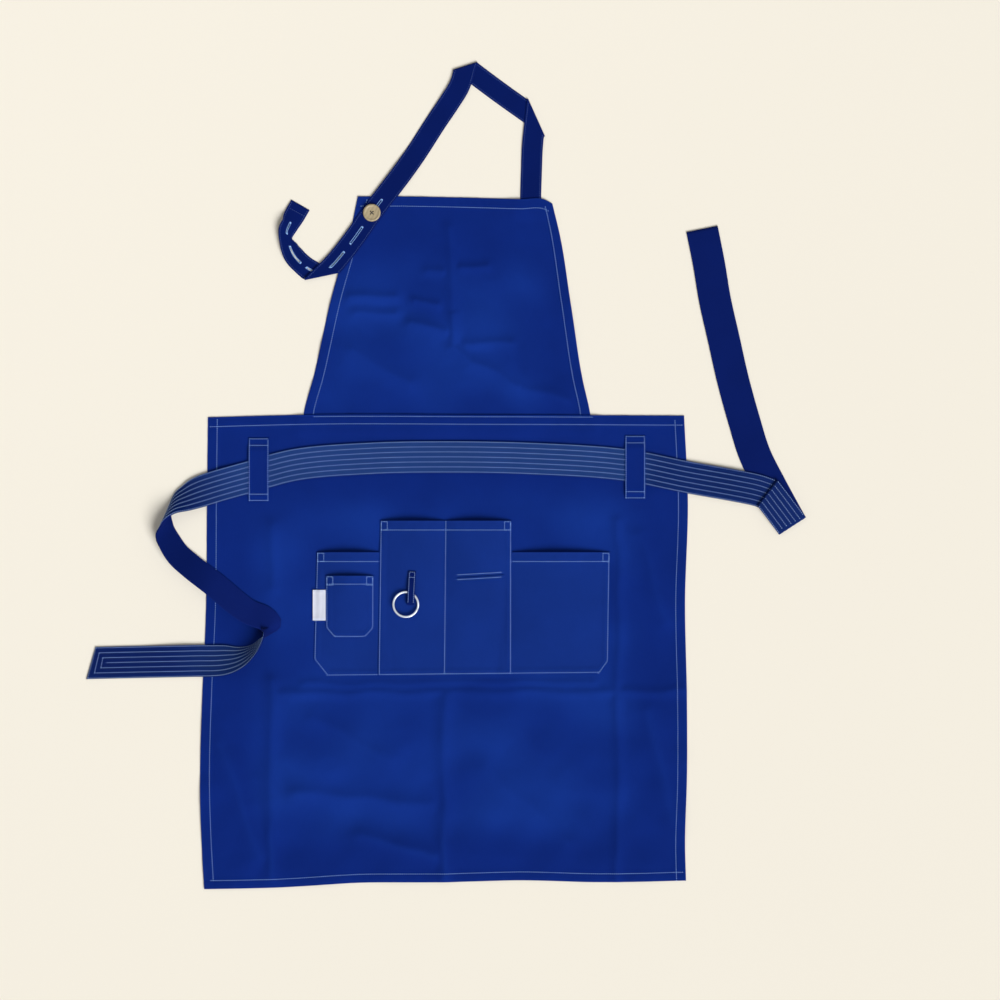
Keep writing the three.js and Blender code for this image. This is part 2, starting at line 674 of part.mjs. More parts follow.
function makePatch() {
  return makePocket(PATCH, {
    left: PATCH.left,
    right: PATCH.right,
    cutLeft: true,
    cutRight: true,
    marks: [],
    step: 15,
    under: patchUnder,
  });
}

function makeLabel() {
  return clothSheet({
    x0: LABEL.left,
    y0: LABEL.bottom,
    width: LABEL.right - LABEL.left,
    height: LABEL.top - LABEL.bottom,
    left: () => LABEL.left,
    right: () => LABEL.right,
    bottom: () => LABEL.bottom,
    top: () => LABEL.top,
    hems: { left: 0, right: 0, bottom: 0, top: 0 },
    marksAcross: [SIDE_LEFT.left + leaned(SIDE_LEFT, 'leanLeft', LABEL.bottom) - LABEL.left],
    step: 8,
    under: (x, y) => sidePocketUnder(SIDE_LEFT, x, y) + CANVAS + GAP,
  });
}

// Straps
function makeBelt() {
  return strapSolid({
    stretches: [BELT_FRONT, BELT_PLEAT, BELT_FOLDED, BELT_TAIL],
    width: BELT_WIDTH,
    thickness: BELT_THICKNESS,
    spacing: 16,
    startSkew: BELT_END_SLANT,
  });
}

function makeNeckStrap() {
  const strap = strapSolid({
    stretches: [NECK_RISER, NECK_CROSSING, NECK_FALL, NECK_RETURN],
    width: NECK_WIDTH,
    thickness: NECK_THICKNESS,
    spacing: 14,
  });
  const cuts = BUTTONHOLES.map(({ x, y, z, angle, length, depth }) => placedBox(
    length, BUTTONHOLE_WIDTH, depth, x, y, z, angle,
  ));
  return toGeometry(cuts.reduce((solid, cut) => solid.subtract(cut), toSolid(strap)));
}

// A belt loop: ends sewn flat on the skirt, arched over the belt
function makeBeltLoop(x, top, bottom) {
  const low = CANVAS + GAP;
  const arch = ON_CLOTH + BELT_THICKNESS + GAP;
  return strapSolid({
    stretches: [[
      { x, y: bottom, rest: low },
      { x, y: bottom + 2, rest: low },
      { x, y: bottom + 9, rest: arch },
      { x, y: (top + bottom) / 2, rest: arch + 0.6 },
      { x, y: top - 20, rest: arch },
      { x, y: top - 9, rest: low },
      { x, y: top, rest: low },
    ]],
    width: LOOP_WIDTH,
    thickness: LOOP_THICKNESS,
    spacing: 10,
  });
}

// Key ring lying on the pocket, and the tape loop that it hangs in
const RING_RADIUS = RING_OUTER_RADIUS - RING_WIRE_RADIUS;

function ringHeight() {
  let highest = 0;
  for (let n = 0; n < 24; n += 1) {
    const angle = (Math.PI * n) / 12;
    const x = RING_AT.x + RING_OUTER_RADIUS * Math.cos(angle);
    const y = RING_AT.y + RING_OUTER_RADIUS * Math.sin(angle);
    highest = Math.max(highest, centrePocketUnder(x, y) + CANVAS);
  }
  return highest + KEY_LOOP_THICKNESS + 3 * GAP + RING_WIRE_RADIUS;
}

function makeKeyRing() {
  const ring = new THREE.TorusGeometry(RING_RADIUS, RING_WIRE_RADIUS, 8, 30);
  ring.translate(RING_AT.x, RING_AT.y, ringHeight());
  return ring;
}

function makeKeyLoop() {
  const lie = (x, y) => centrePocketUnder(x, y) + CANVAS + 2 * GAP;
  const overRing = ringHeight() + RING_WIRE_RADIUS + GAP;
  const sewn = { x: -55.3, y: -247.5 };
  const end = { x: -57.7, y: -298 };
  const half = { x: (sewn.x + end.x) / 2, y: (sewn.y + end.y) / 2 };
  return strapSolid({
    stretches: [
      [
        { ...sewn, rest: lie(sewn.x, sewn.y) },
        { ...half, rest: lie(half.x, half.y) },
        { ...end, rest: lie(end.x, end.y) },
      ],
      [
        { ...end, rest: overRing },
        { ...half, rest: overRing },
        { ...sewn, rest: lie(sewn.x, sewn.y) + KEY_LOOP_THICKNESS + GAP },
      ],
    ],
    width: KEY_LOOP_WIDTH,
    thickness: KEY_LOOP_THICKNESS,
    spacing: 8,
  });
}

// Four-hole button held over the strap by a sewn shank
const BUTTON_LOW = ON_CLOTH + NECK_THICKNESS + 1.2;
const BUTTON_HOLE_AT = 2.1;
const BUTTON_HOLE_RADIUS = 1.0;
const HOLE_PLACES = [[1, 1], [-1, 1], [-1, -1], [1, -1]].map(([a, b]) => ({
  x: BUTTON_AT.x + a * BUTTON_HOLE_AT,
  y: BUTTON_AT.y + b * BUTTON_HOLE_AT,
}));

function makeButton() {
  const outline = [
    [0, 0], [BUTTON_RADIUS - 1.6, 0], [BUTTON_RADIUS, 1.3], [BUTTON_RADIUS, 2.7],
    [BUTTON_RADIUS - 1.2, BUTTON_THICKNESS], [BUTTON_RADIUS - 3, BUTTON_THICKNESS],
    [BUTTON_RADIUS - 4.2, BUTTON_THICKNESS - 0.8], [0, BUTTON_THICKNESS - 1],
  ].map(([r, z]) => new THREE.Vector2(r, z));
  const disc = new THREE.LatheGeometry(outline, 24);
  disc.rotateX(Math.PI / 2);
  disc.translate(BUTTON_AT.x, BUTTON_AT.y, BUTTON_LOW);
  const holes = HOLE_PLACES.map(({ x, y }) => uprightCylinder(
    BUTTON_HOLE_RADIUS, BUTTON_LOW - 1, BUTTON_LOW + BUTTON_THICKNESS + 1, x, y, 8,
  ));
  return toGeometry(holes.reduce((solid, hole) => solid.subtract(hole), toSolid(disc)));
}

function makeButtonThread() {
  const { x, y } = BUTTON_AT;
  const padLow = BUTTON_LOW - GAP - 0.6;
  const legTop = BUTTON_LOW + BUTTON_THICKNESS + 0.6;
  const reach = BUTTON_HOLE_AT * Math.SQRT2;
  const shank = uprightCylinder(0.7, CANVAS + GAP, BUTTON_LOW - GAP, x, y, 8);
  const pad = uprightCylinder(reach + 0.8, padLow, BUTTON_LOW - GAP, x, y, 16);
  const legs = HOLE_PLACES.map((hole) => uprightCylinder(0.6, padLow, legTop, hole.x, hole.y, 6));
  const crossings = [45, -45].map((angle) => placedBox(2 * reach + 1.4, 1.6, 0.9, x, y, legTop, angle));
  return toGeometry([pad, ...legs, ...crossings].reduce((solid, part) => solid.add(part), shank));
}

// Assembly
const apron = new THREE.Group();
apron.name = 'artist_apron';

function addPiece(name, geometry, material) {
  const mesh = new THREE.Mesh(geometry, material);
  mesh.name = name;
  apron.add(mesh);
}

addPiece('bib', makeBib(), cloth(COLOURS.canvas));
addPiece('skirt', makeSkirt(), cloth(COLOURS.canvas));
addPiece('side_pocket_left', makeSideLeft(), cloth(COLOURS.pocket));
addPiece('side_pocket_right', makeSideRight(), cloth(COLOURS.pocket));
addPiece('centre_pocket', makeCentrePocket(), cloth(COLOURS.pocket));
addPiece('patch_pocket', makePatch(), cloth(COLOURS.pocket));
addPiece('label_tag', makeLabel(), cloth(COLOURS.label));
addPiece('belt', makeBelt(), cloth(COLOURS.belt));
addPiece('belt_loop_left', makeBeltLoop(-LOOP_X, -35, -136), cloth(COLOURS.canvas));
addPiece('belt_loop_right', makeBeltLoop(LOOP_X, -31, -132), cloth(COLOURS.canvas));
addPiece('neck_strap', makeNeckStrap(), cloth(COLOURS.strap));
addPiece('key_loop', makeKeyLoop(), cloth(COLOURS.strap));
addPiece('button_thread', makeButtonThread(), cloth(COLOURS.thread));
addPiece('neck_button', makeButton(), new THREE.MeshStandardMaterial({
  color: COLOURS.wood, roughness: 0.55, metalness: 0,
}));
addPiece('key_ring', makeKeyRing(), new THREE.MeshStandardMaterial({
  color: COLOURS.steel, roughness: 0.25, metalness: 1,
}));

// Stand the apron on the middle of its box
const box = new THREE.Box3().setFromObject(apron);
const middle = box.getCenter(new THREE.Vector3());
apron.position.set(-middle.x, -middle.y, -box.min.z);

export default apron;
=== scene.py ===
"""Artist apron laid flat: canvas panels, stitched pockets, a long belt, a buttoned neck strap and trims."""

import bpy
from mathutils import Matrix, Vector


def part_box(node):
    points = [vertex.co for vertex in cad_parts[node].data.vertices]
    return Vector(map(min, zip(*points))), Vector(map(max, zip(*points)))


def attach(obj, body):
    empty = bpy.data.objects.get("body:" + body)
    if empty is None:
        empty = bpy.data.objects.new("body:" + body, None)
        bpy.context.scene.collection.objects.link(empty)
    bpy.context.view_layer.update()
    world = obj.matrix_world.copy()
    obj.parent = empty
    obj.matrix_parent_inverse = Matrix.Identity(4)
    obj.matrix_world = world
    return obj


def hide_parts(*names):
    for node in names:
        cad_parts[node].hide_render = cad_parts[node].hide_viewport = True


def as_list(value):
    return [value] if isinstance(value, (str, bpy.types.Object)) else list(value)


bl_info = {
    "name": "Artist Apron",
    "version": (1, 0, 0),
    "blender": (4, 5, 0),
    "location": "3D View > Sidebar > Apron",
    "description": "Sews a canvas artist apron over its packed frame, one operator for each piece",
    "category": "Add Mesh",
}

import math

import bpy
import numpy as np
from mathutils import Vector

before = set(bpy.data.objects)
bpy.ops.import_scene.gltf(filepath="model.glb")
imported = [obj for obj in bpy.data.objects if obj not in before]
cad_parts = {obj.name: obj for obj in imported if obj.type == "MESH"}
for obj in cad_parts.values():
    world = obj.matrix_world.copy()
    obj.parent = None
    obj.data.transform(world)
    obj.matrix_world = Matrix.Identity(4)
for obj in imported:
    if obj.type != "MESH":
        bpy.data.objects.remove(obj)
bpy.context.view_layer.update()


def table(names, *rows):
    """A short table as arrays, one for each named column."""
    return dict(zip(names.split(), np.array(rows, float).T))


# Pattern of the apron in metres, drawn from the middle of the waist seam, +X right and +Y towards the bib
SKIRT_WIDTH = 0.762
SKIRT_LENGTH = 0.745
BIB_HEIGHT = 0.350
BIB_TUCK = 0.019
GAP = 0.0003
BUTTON_AT = (-0.1196, 0.3236)
RING_AT = (-0.0654, -0.3001)

# Bow of the skirt's side edges, outwards from the straight cut
SKIRT_SIDES = table(
    "y left right",
    (-0.745, 0.0060, 0.0000),
    (-0.684, 0.0095, -0.0015),
    (-0.580, 0.0125, 0.0015),
    (-0.453, 0.0095, 0.0015),
    (-0.301, 0.0030, -0.0015),
    (-0.134, 0.0015, 0.0030),
    (0.000, 0.0000, -0.0030),
)
# How far the bottom hem hangs below its straight cut
SKIRT_HEM = table(
    "x drop",
    (-0.381, 0.0090),
    (-0.270, 0.0065),
    (-0.140, -0.0010),
    (0.000, -0.0020),
    (0.115, -0.0050),
    (0.245, -0.0020),
    (0.381, -0.0045),
)
# Rise of the waist edge above its straight cut
WAIST_EDGE = table("x rise", (-0.381, -0.002), (-0.226, 0.002), (0.060, 0.002), (0.381, 0.0006))
# Sides of the bib from the strip tucked behind the skirt to its top edge
BIB_SIDES = table(
    "y left right",
    (-0.019, -0.2310, 0.2310),
    (0.006, -0.2280, 0.2280),
    (0.057, -0.2140, 0.2170),
    (0.185, -0.1850, 0.1975),
    (0.306, -0.1515, 0.1785),
    (0.350, -0.1420, 0.1680),
)
# Rise of the bib's top edge above its straight cut
BIB_TOP = table(
    "x rise",
    (-0.142, 0.0000),
    (-0.075, 0.0000),
    (0.007, -0.0014),
    (0.117, -0.0044),
    (0.157, -0.0056),
    (0.168, -0.0115),
)
# Packing creases and soft wrinkles, each a ridge from one point to another
SKIRT_RIDGES = table(
    "x1 y1 x2 y2 width height",
    (-0.279, -0.172, -0.279, -0.275, 0.011, 0.0026),
    (-0.279, -0.425, -0.281, -0.735, 0.011, 0.0036),
    (-0.003, -0.446, -0.004, -0.735, 0.012, 0.0038),
    (0.274, -0.165, 0.273, -0.735, 0.008, 0.0030),
    (-0.230, -0.428, 0.235, -0.424, 0.006, 0.0020),
    (-0.270, -0.442, 0.378, -0.439, 0.008, 0.0026),
    (-0.242, -0.600, -0.030, -0.618, 0.014, 0.0032),
    (-0.140, -0.668, -0.020, -0.702, 0.014, 0.0036),
    (0.060, -0.560, 0.190, -0.676, 0.020, 0.0034),
    (-0.360, -0.520, -0.300, -0.700, 0.018, 0.0032),
    (0.318, -0.470, 0.362, -0.640, 0.018, 0.0032),
    (-0.210, -0.480, -0.090, -0.545, 0.018, 0.0028),
    (0.306, -0.190, 0.352, -0.330, 0.015, 0.0028),
)
BIB_RIDGES = table(
    "x1 y1 x2 y2 width height",
    (0.005, 0.300, 0.008, 0.160, 0.010, 0.0022),
    (0.009, 0.160, 0.008, 0.113, 0.009, 0.0034),
    (0.008, 0.113, 0.037, 0.086, 0.010, 0.0036),
    (0.037, 0.086, 0.116, 0.049, 0.012, 0.0036),
    (0.116, 0.049, 0.190, 0.022, 0.012, 0.0030),
    (0.030, 0.117, 0.100, 0.114, 0.009, 0.0026),
    (-0.155, 0.188, -0.084, 0.190, 0.009, 0.0030),
    (-0.052, 0.184, -0.016, 0.176, 0.008, 0.0028),
    (-0.147, 0.164, -0.084, 0.163, 0.009, 0.0028),
    (-0.059, 0.147, -0.004, 0.136, 0.009, 0.0030),
    (0.022, 0.238, 0.062, 0.236, 0.009, 0.0026),
    (-0.030, 0.233, -0.008, 0.231, 0.008, 0.0024),
    (-0.150, 0.105, -0.062, 0.052, 0.015, 0.0030),
)

# Pockets: sides, mouth and base, the base's tilt, the sides' lean, the cut-off lower corners, the sides that
# are sewn in sight, the ends of the base's row of stitches, and the hem along the mouth with its row's inset
PLAIN = {
    "tilt": 0.0,
    "lean_left": 0.0,
    "lean_right": 0.0,
    "cut": (0.0, 1.0),
    "sewn": ("left", "right"),
    "mouth_hem": 0.016,
    "mouth_row": 0.0150,
}
BASE = {**PLAIN, "base": -0.4126, "tilt": 0.0105}
CENTRE_POCKET = {
    **BASE,
    "left": -0.1064,
    "right": 0.1031,
    "mouth": -0.1666,
    "lean_left": 0.0133,
    "base_row": (-0.1079, 0.1011),
}
CENTRE_SEAM = -0.0024
SIDE_LEFT = {
    **BASE,
    "left": -0.2076,
    "right": -0.1068,
    "mouth": -0.2168,
    "lean_left": 0.0265,
    "cut": (0.0210, 0.0255),
    "sewn": ("left",),
    "base_row": (-0.1916, -0.1068),
}
SIDE_RIGHT = {
    **BASE,
    "left": 0.1031,
    "right": 0.2599,
    "mouth": -0.2168,
    "lean_right": 0.0146,
    "cut": (0.0156, 0.0222),
    "sewn": ("right",),
    "base_row": (0.1031, 0.2414),
}
PATCH = {
    **PLAIN,
    "left": -0.1929,
    "right": -0.1164,
    "mouth": -0.2542,
    "base": -0.3528,
    "cut": (0.0140, 0.0155),
    "base_row": (-0.1789, -0.1304),
    "mouth_hem": 0.0145,
    "mouth_row": 0.0135,
}
POCKET_TUCK = 0.010
POCKET_BULGE = 0.008
PATCH_BULGE = 0.0065
PEN_SLIT = {"left": 0.0170, "right": 0.0896, "bottom": -0.2550, "top": -0.2544}
PEN_SLIT_SLOPE = 0.058
LABEL = {**PLAIN, "left": -0.2140, "right": -0.1932, "base": -0.3258, "mouth": -0.2770}
# The side pockets' cloth goes on behind the centre pocket
TUCKED_LEFT = {**SIDE_LEFT, "right": SIDE_LEFT["right"] + POCKET_TUCK}
TUCKED_RIGHT = {**SIDE_RIGHT, "left": SIDE_RIGHT["left"] - POCKET_TUCK}

# Belt from its slanted left end, over two soft turns and along the front, to the small pleat on the right.
# Rest is the height it lies on. Roll turns it about its own line: 0 front up, -90 on edge, -180 back up.
# Skew slants its cross line along it, and rise is the share of its width that it stands up by on edge.
ON_CLOTH = 0.0019
BELT_FRONT = table(
    "x y rest roll skew rise",
    (-0.5675, -0.3937, 0.0, 0, 0, 1),
    (-0.4894, -0.3920, 0.0, 0, 0, 1),
    (-0.4020, -0.3902, ON_CLOTH, 0, 0, 1),
    (-0.3587, -0.3892, ON_CLOTH, -16, 0, 0.9),
    (-0.3300, -0.3845, ON_CLOTH, -48, 0, 0.7),
    (-0.3076, -0.3722, ON_CLOTH, -72, 0, 0.6),
    (-0.2949, -0.3571, ON_CLOTH, -84, 0, 0.55),
    (-0.2845, -0.3445, ON_CLOTH, -102, 0.1, 0.55),
    (-0.2790, -0.3330, ON_CLOTH, -128, 0.25, 0.55),
    (-0.2895, -0.3225, ON_CLOTH, -137, 0.15, 0.55),
    (-0.3170, -0.3110, ON_CLOTH, -139, 0, 0.55),
    (-0.3704, -0.2683, ON_CLOTH, -140, 0, 0.55),
    (-0.4080, -0.2390, ON_CLOTH, -140, 0, 0.5),
    (-0.4280, -0.2210, 0.0006, -138, 0, 0.5),
    (-0.4425, -0.1990, 0.0, -134, 0.1, 0.5),
    (-0.4495, -0.1836, 0.0, -126, 0.25, 0.5),
    (-0.4470, -0.1560, 0.0, -90, 0.7, 0.5),
    (-0.4340, -0.1390, 0.0012, -60, 0.5, 0.5),
    (-0.4120, -0.1280, ON_CLOTH, -30, 0.25, 0.6),
    (-0.3750, -0.1145, ON_CLOTH, 0, 0, 1),
    (-0.3172, -0.0980, ON_CLOTH, 0, 0, 1),
    (-0.2407, -0.0775, ON_CLOTH, 0, 0, 1),
    (-0.1227, -0.0675, ON_CLOTH, 0, 0, 1),
    (-0.0064, -0.0652, ON_CLOTH, 0, 0, 1),
    (0.1323, -0.0677, ON_CLOTH, 0, 0, 1),
    (0.2805, -0.0776, ON_CLOTH, 0, 0, 1),
    (0.3842, -0.0977, 0.0024, 0, 0, 1),
    (0.4590, -0.1110, 0.0032, 0, 0, 1),
    (0.4950, -0.1185, 0.0032, 0, 0, 1),
    (0.5165, -0.1262, 0.0032, 0, 0, 1),
)
# The pleat turns straight back for a few millimetres, and the belt then goes on at an angle to its end fold
BELT_PLEAT = table("x y rest", (0.5165, -0.1262, 0.0059), (0.5119, -0.1243, 0.0059))
BELT_FOLDED = table(
    "x y rest",
    (0.5119, -0.1243, 0.0086),
    (0.5270, -0.1440, 0.0086),
    (0.5491, -0.1730, 0.0040),
)
# Belt's right tail, turned back under itself, back up
BELT_TAIL = table(
    "x y rest",
    (0.5491, -0.1730, 0),
    (0.5170, -0.1140, 0),
    (0.4910, -0.0622, 0),
    (0.4734, -0.0064, 0),
    (0.4559, 0.0574, 0),
    (0.4415, 0.1211, 0),
    (0.4272, 0.1849, 0),
    (0.4176, 0.2423, 0),
    (0.4065, 0.2981, 0),
)
BELT_END_SLANT = 0.31

# Neck strap from its end sewn behind the bib, over three flat folds and a soft turn, to its free end
OVER = 0.0022
NECK_RISER = table(
    "x y rest",
    (0.1331, 0.330, 0),
    (0.1334, 0.349, 0),
    (0.1347, 0.392, 0),
    (0.1363, 0.430, 0.0012),
    (0.1411, 0.475, OVER),
)
NECK_CROSSING = table("x y rest", (0.1411, 0.4750, 0), (0.0845, 0.5152, 0), (0.0295, 0.5563, 0))
NECK_FALL = table(
    "x y rest",
    (0.0295, 0.5563, OVER),
    (0.0199, 0.5260, OVER),
    (0.0048, 0.5010, 0.0014),
    (-0.0175, 0.4680, 0),
    (-0.0478, 0.4208, 0),
    (-0.0700, 0.3890, ON_CLOTH),
    (-0.0893, 0.3634, ON_CLOTH),
    (-0.1196, 0.3236, ON_CLOTH),
    (-0.1443, 0.2877, ON_CLOTH),
    (-0.1745, 0.2487, ON_CLOTH),
    (-0.1980, 0.2242, ON_CLOTH + OVER),
)
NECK_RETURN = table(
    "x y rest roll skew rise",
    (-0.1980, 0.2242, ON_CLOTH, 0, 0, 1),
    (-0.2145, 0.2312, 0, 0, 0, 0.4),
    (-0.2295, 0.2408, 0, 8, 0, 0.4),
    (-0.2437, 0.2557, 0, 14, 0, 0.4),
    (-0.2523, 0.2764, 0, 38, -0.5, 0.4),
    (-0.2554, 0.2929, 0, 49, -0.75, 0.4),
    (-0.2505, 0.3060, 0, 30, -0.35, 0.4),
    (-0.2430, 0.3195, 0, 8, 0, 0.4),
    (-0.2333, 0.3364, 0, 0, 0, 1),
)

# Belt loops: middle line, and where the top and bottom ends are sewn down
BELT_LOOPS = table("x top bottom", (-0.300, -0.035, -0.136), (0.300, -0.031, -0.132))


def pattern_origin():
    """Place in the frame of the middle of the waist seam, found from the button."""
    low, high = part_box("neck_button")
    return np.array([(low.x + high.x) / 2 - BUTTON_AT[0], (low.y + high.y) / 2 - BUTTON_AT[1], 0])


ORIGIN = pattern_origin()


# Curves and gentle random waves
def hermite(start, end, leave, arrive, t):
    """Cubic between two values with the given slopes at its ends."""
    return (
        (1 + 2 * t) * (1 - t) ** 2 * start
        + t * (1 - t) ** 2 * leave
        + t * t * (3 - 2 * t) * end
        + t * t * (t - 1) * arrive
    )


def read(rows, by, column, at):
    """Smooth value of a table's column at places between its rows."""
    places, values = rows[by], rows[column]
    slopes = np.gradient(values, places)
    n = np.clip(np.searchsorted(places, at) - 1, 0, len(places) - 2)
    span = places[n + 1] - places[n]
    t = np.clip((at - places[n]) / span, 0, 1)
    return hermite(values[n], values[n + 1], slopes[n] * span, slopes[n + 1] * span, t)


def ease(value, low, high):
    """0 below low, 1 above high, smooth between."""
    t = np.clip((value - low) / (high - low), 0, 1)
    return t * t * (3 - 2 * t)


def ripple(x, y, seed, shortest, longest):
    """Gentle random waves of those lengths, about -1 to 1."""
    draw = np.random.default_rng(seed)
    count = 12
    total = 0
    for _ in range(count):
        length = draw.uniform(shortest, longest)
        angle = draw.uniform(0, math.tau)
        phase = draw.uniform(0, math.tau)
        total = total + np.sin(math.tau * (x * math.cos(angle) + y * math.sin(angle)) / length + phase)
    return np.clip(total / math.sqrt(count), -1, 1)


def ridge_height(ridges, x, y):
    """Height of creases at a point: sharp along their crests, dying away to the sides."""
    bend = 0.0025
    x = x + bend * ripple(x, y, 21, 0.06, 0.14)
    y = y + bend * ripple(x, y, 22, 0.06, 0.14)
    height = np.zeros_like(x)
    for x1, y1, x2, y2, width, rise in zip(*ridges.values()):
        run_x, run_y = x2 - x1, y2 - y1
        along = np.clip(((x - x1) * run_x + (y - y1) * run_y) / (run_x**2 + run_y**2), 0, 1)
        away = np.hypot(x - x1 - along * run_x, y - y1 - along * run_y)
        height = np.maximum(height, rise * np.exp(-((away / width) ** 1.5)))
    return 1.4 * height


def plateau(x, y, left, right, bottom, top, fall):
    """1 inside a box, falling to 0 over a distance outside it."""
    out_x = np.maximum(np.maximum(left - x, x - right), 0)
    out_y = np.maximum(np.maximum(bottom - y, y - top), 0)
    return 1 - ease(np.hypot(out_x, out_y), 0, fall)


# Meshes
UP = np.array([0.0, 0.0, 1.0])
EDGE_FOLD = 0.0004


def unit(vectors):
    """The same directions with a length of one."""
    return vectors / np.maximum(np.linalg.norm(vectors, axis=-1, keepdims=True), 1e-12)


def new_object(name, points, faces, materials):
    """A smooth object from pattern points, moved to its place in the frame."""
    mesh = bpy.data.meshes.new(name)
    mesh.from_pydata((points + ORIGIN).tolist(), [], faces)
    mesh.polygons.foreach_set("use_smooth", np.ones(len(mesh.polygons), bool))
    for material in materials:
        mesh.materials.append(material)
    piece = bpy.data.objects.new(name, mesh)
    bpy.context.scene.collection.objects.link(piece)
    return piece


def tube_faces(rings, sides, flip=False):
    """Faces of a tube of rings of points, with a flat cap at each end."""
    faces = [list(range(sides))[::-1]]
    for here in range(0, (rings - 1) * sides, sides):
        for k in range(sides):
            beside = (k + 1) % sides
            faces.append([here + k, here + beside, here + beside + sides, here + k + sides])
    faces.append(list(range((rings - 1) * sides, rings * sides)))
    return [face[::-1] for face in faces] if flip else faces


def add_grain(mesh, grain, wear_and_light):
    """The cloth's own flat coordinates, for its weave, and how much paler each place is drawn: rubbed wear,
    painted highlight and painted light.
    """
    corners = np.empty(len(mesh.loops), int)
    mesh.loops.foreach_get("vertex_index", corners)
    mesh.uv_layers.new(name="cloth").data.foreach_set("uv", grain[corners].astype(np.float32).ravel())
    lit_and_rubbed = mesh.attributes.new("wear_and_light", "FLOAT", "POINT")
    lit_and_rubbed.data.foreach_set("value", wear_and_light.astype(np.float32))


def cloth_object(name, top, under, grain, wear_and_light, materials, kept=None):
    """A closed sheet between two grids of points, with rounded edges.

    kept marks the cells of the grid that are cloth. A second material covers the back and the edges.
    """
    rows, across = top.shape[:2]
    total = rows * across
    number = np.arange(total).reshape(rows, across)
    cells = np.stack([number[:-1, :-1], number[:-1, 1:], number[1:, 1:], number[1:, :-1]], axis=-1)
    cells = cells.reshape(-1, 4) if kept is None else cells[kept]
    edges = np.concatenate([cells[:, [k, (k + 1) % 4]] for k in range(4)])
    ends = np.sort(edges, axis=1)
    _, first, uses = np.unique(ends[:, 0] * total + ends[:, 1], return_index=True, return_counts=True)
    start, stop = edges[first[uses == 1]].T
    above = top.reshape(-1, 3).copy()
    below = under.reshape(-1, 3).copy()
    outward = np.zeros_like(above)
    push = unit(np.cross(above[stop] - above[start], unit(above - below)[start]))
    np.add.at(outward, start, push)
    np.add.at(outward, stop, push)
    border = np.unique(start)
    inwards = EDGE_FOLD * unit(outward[border])
    middle = (above[border] + below[border]) / 2
    above[border] -= inwards
    below[border] -= inwards
    rim = np.zeros(total, int)
    rim[border] = 2 * total + np.arange(len(border))
    upper_wall = np.stack([rim[start], rim[stop], stop, start], axis=1)
    lower_wall = np.stack([start + total, stop + total, rim[stop], rim[start]], axis=1)
    faces = np.concatenate([cells, cells[:, ::-1] + total, upper_wall, lower_wall])
    used, faces = np.unique(faces, return_inverse=True)
    faces = faces.reshape(-1, 4)
    points = np.vstack([above, below, middle])[used]
    piece = new_object(name, points, faces.tolist(), materials)
    flat = grain.reshape(-1, 2)
    lit_and_rubbed = wear_and_light.ravel()
    add_grain(
        piece.data,
        np.vstack([flat, flat, flat[border]])[used],
        np.concatenate([lit_and_rubbed, lit_and_rubbed, lit_and_rubbed[border]])[used],
    )
    if len(materials) > 1:
        side = np.ones(len(faces), np.int32)
        side[: len(cells)] = 0
        piece.data.polygons.foreach_set("material_index", side)
    return piece


def carried(piece, slot, *nodes):
    """The piece rides on the apron's one body and stands for CAD nodes. slot is not used."""
    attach(piece, "root")
    if nodes:
        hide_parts(*nodes)
    return piece


def laid(piece, slot, node, flat, rests_on, *stitching, **more):
    """The piece rides on the apron's one body and stands for its node. What it lies on and its stitching are
    not used.
    """
    carried(piece, slot, node)
    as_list(rests_on)


# Stitches
def at_places(along, values, places):
    """Vectors read along a line at the given distances."""
    return np.stack([np.interp(places, along, values[:, k]) for k in range(3)], axis=1)


def line_length(points):
    """Running length along a line of points."""
    steps = np.linalg.norm(np.diff(points, axis=0), axis=1)
    return np.concatenate([[0], np.cumsum(steps)])


def stitch_run(points, normals, pitch, length):
    """Stitches along a line over the cloth: where each starts and ends, and the way the cloth faces there."""
    along = line_length(points)
    first = np.arange(0.0, max(along[-1] - length, 0) + 1e-6, pitch)
    middle = at_places(along, normals, first + length / 2)
    return at_places(along, points, first), at_places(along, points, first + length), middle


def stitch_object(name, runs, thickness, material):
    """All the stitches of a piece in one mesh: a plump strand each, its ends drawn into the cloth."""
    start, end, normal = (np.concatenate(parts) for parts in zip(*runs))
    normal = unit(normal)
    side = unit(np.cross(normal, end - start))
    sides = 5
    radius = thickness / 2
    rings = ((0.0, 0.5, -0.6), (0.5, 1.0, 0.35), (1.0, 0.5, -0.6))
    corners = []
    for place, size, lift in rings:
        centre = start + (end - start) * place + normal * (lift * radius)
        for angle in math.tau * np.arange(sides) / sides:
            corners.append(centre + radius * size * (side * math.cos(angle) + normal * math.sin(angle)))
    points = np.stack(corners, axis=1)
    # Stitches that face the ground are pressed up into the cloth
    under_ground = np.minimum(points[:, :, 2].min(axis=1), 0.0)
    points[:, :, 2] -= under_ground[:, None]
    one = tube_faces(len(rings), sides)
    faces = [[corner + n * len(corners) for corner in face] for n in range(len(start)) for face in one]
    return carried(new_object(name, points.reshape(-1, 3), faces, [material]), "stitching")


# Flat panels
GROOVE = 0.0011
GROOVE_DEPTH = 0.00035
HEM_STEP = 0.002
PUCKER = 0.0002


def hem_insets(hem, stitches):
    """Grid lines beside an edge: close together at the fold and at each row of stitches."""
    lines = [0.0, 0.0008, 0.002]
    for row in stitches:
        lines += [row - 0.0014, row - 0.0006, row, row + 0.0006, row + 0.0014]
    if hem > 0:
        lines += [*np.arange(0.005, hem, 0.004), hem, hem + HEM_STEP]
    kept = [0.0]
    for line in sorted(lines):
        if line - kept[-1] > 0.0004:
            kept.append(line)
    return np.array(kept)


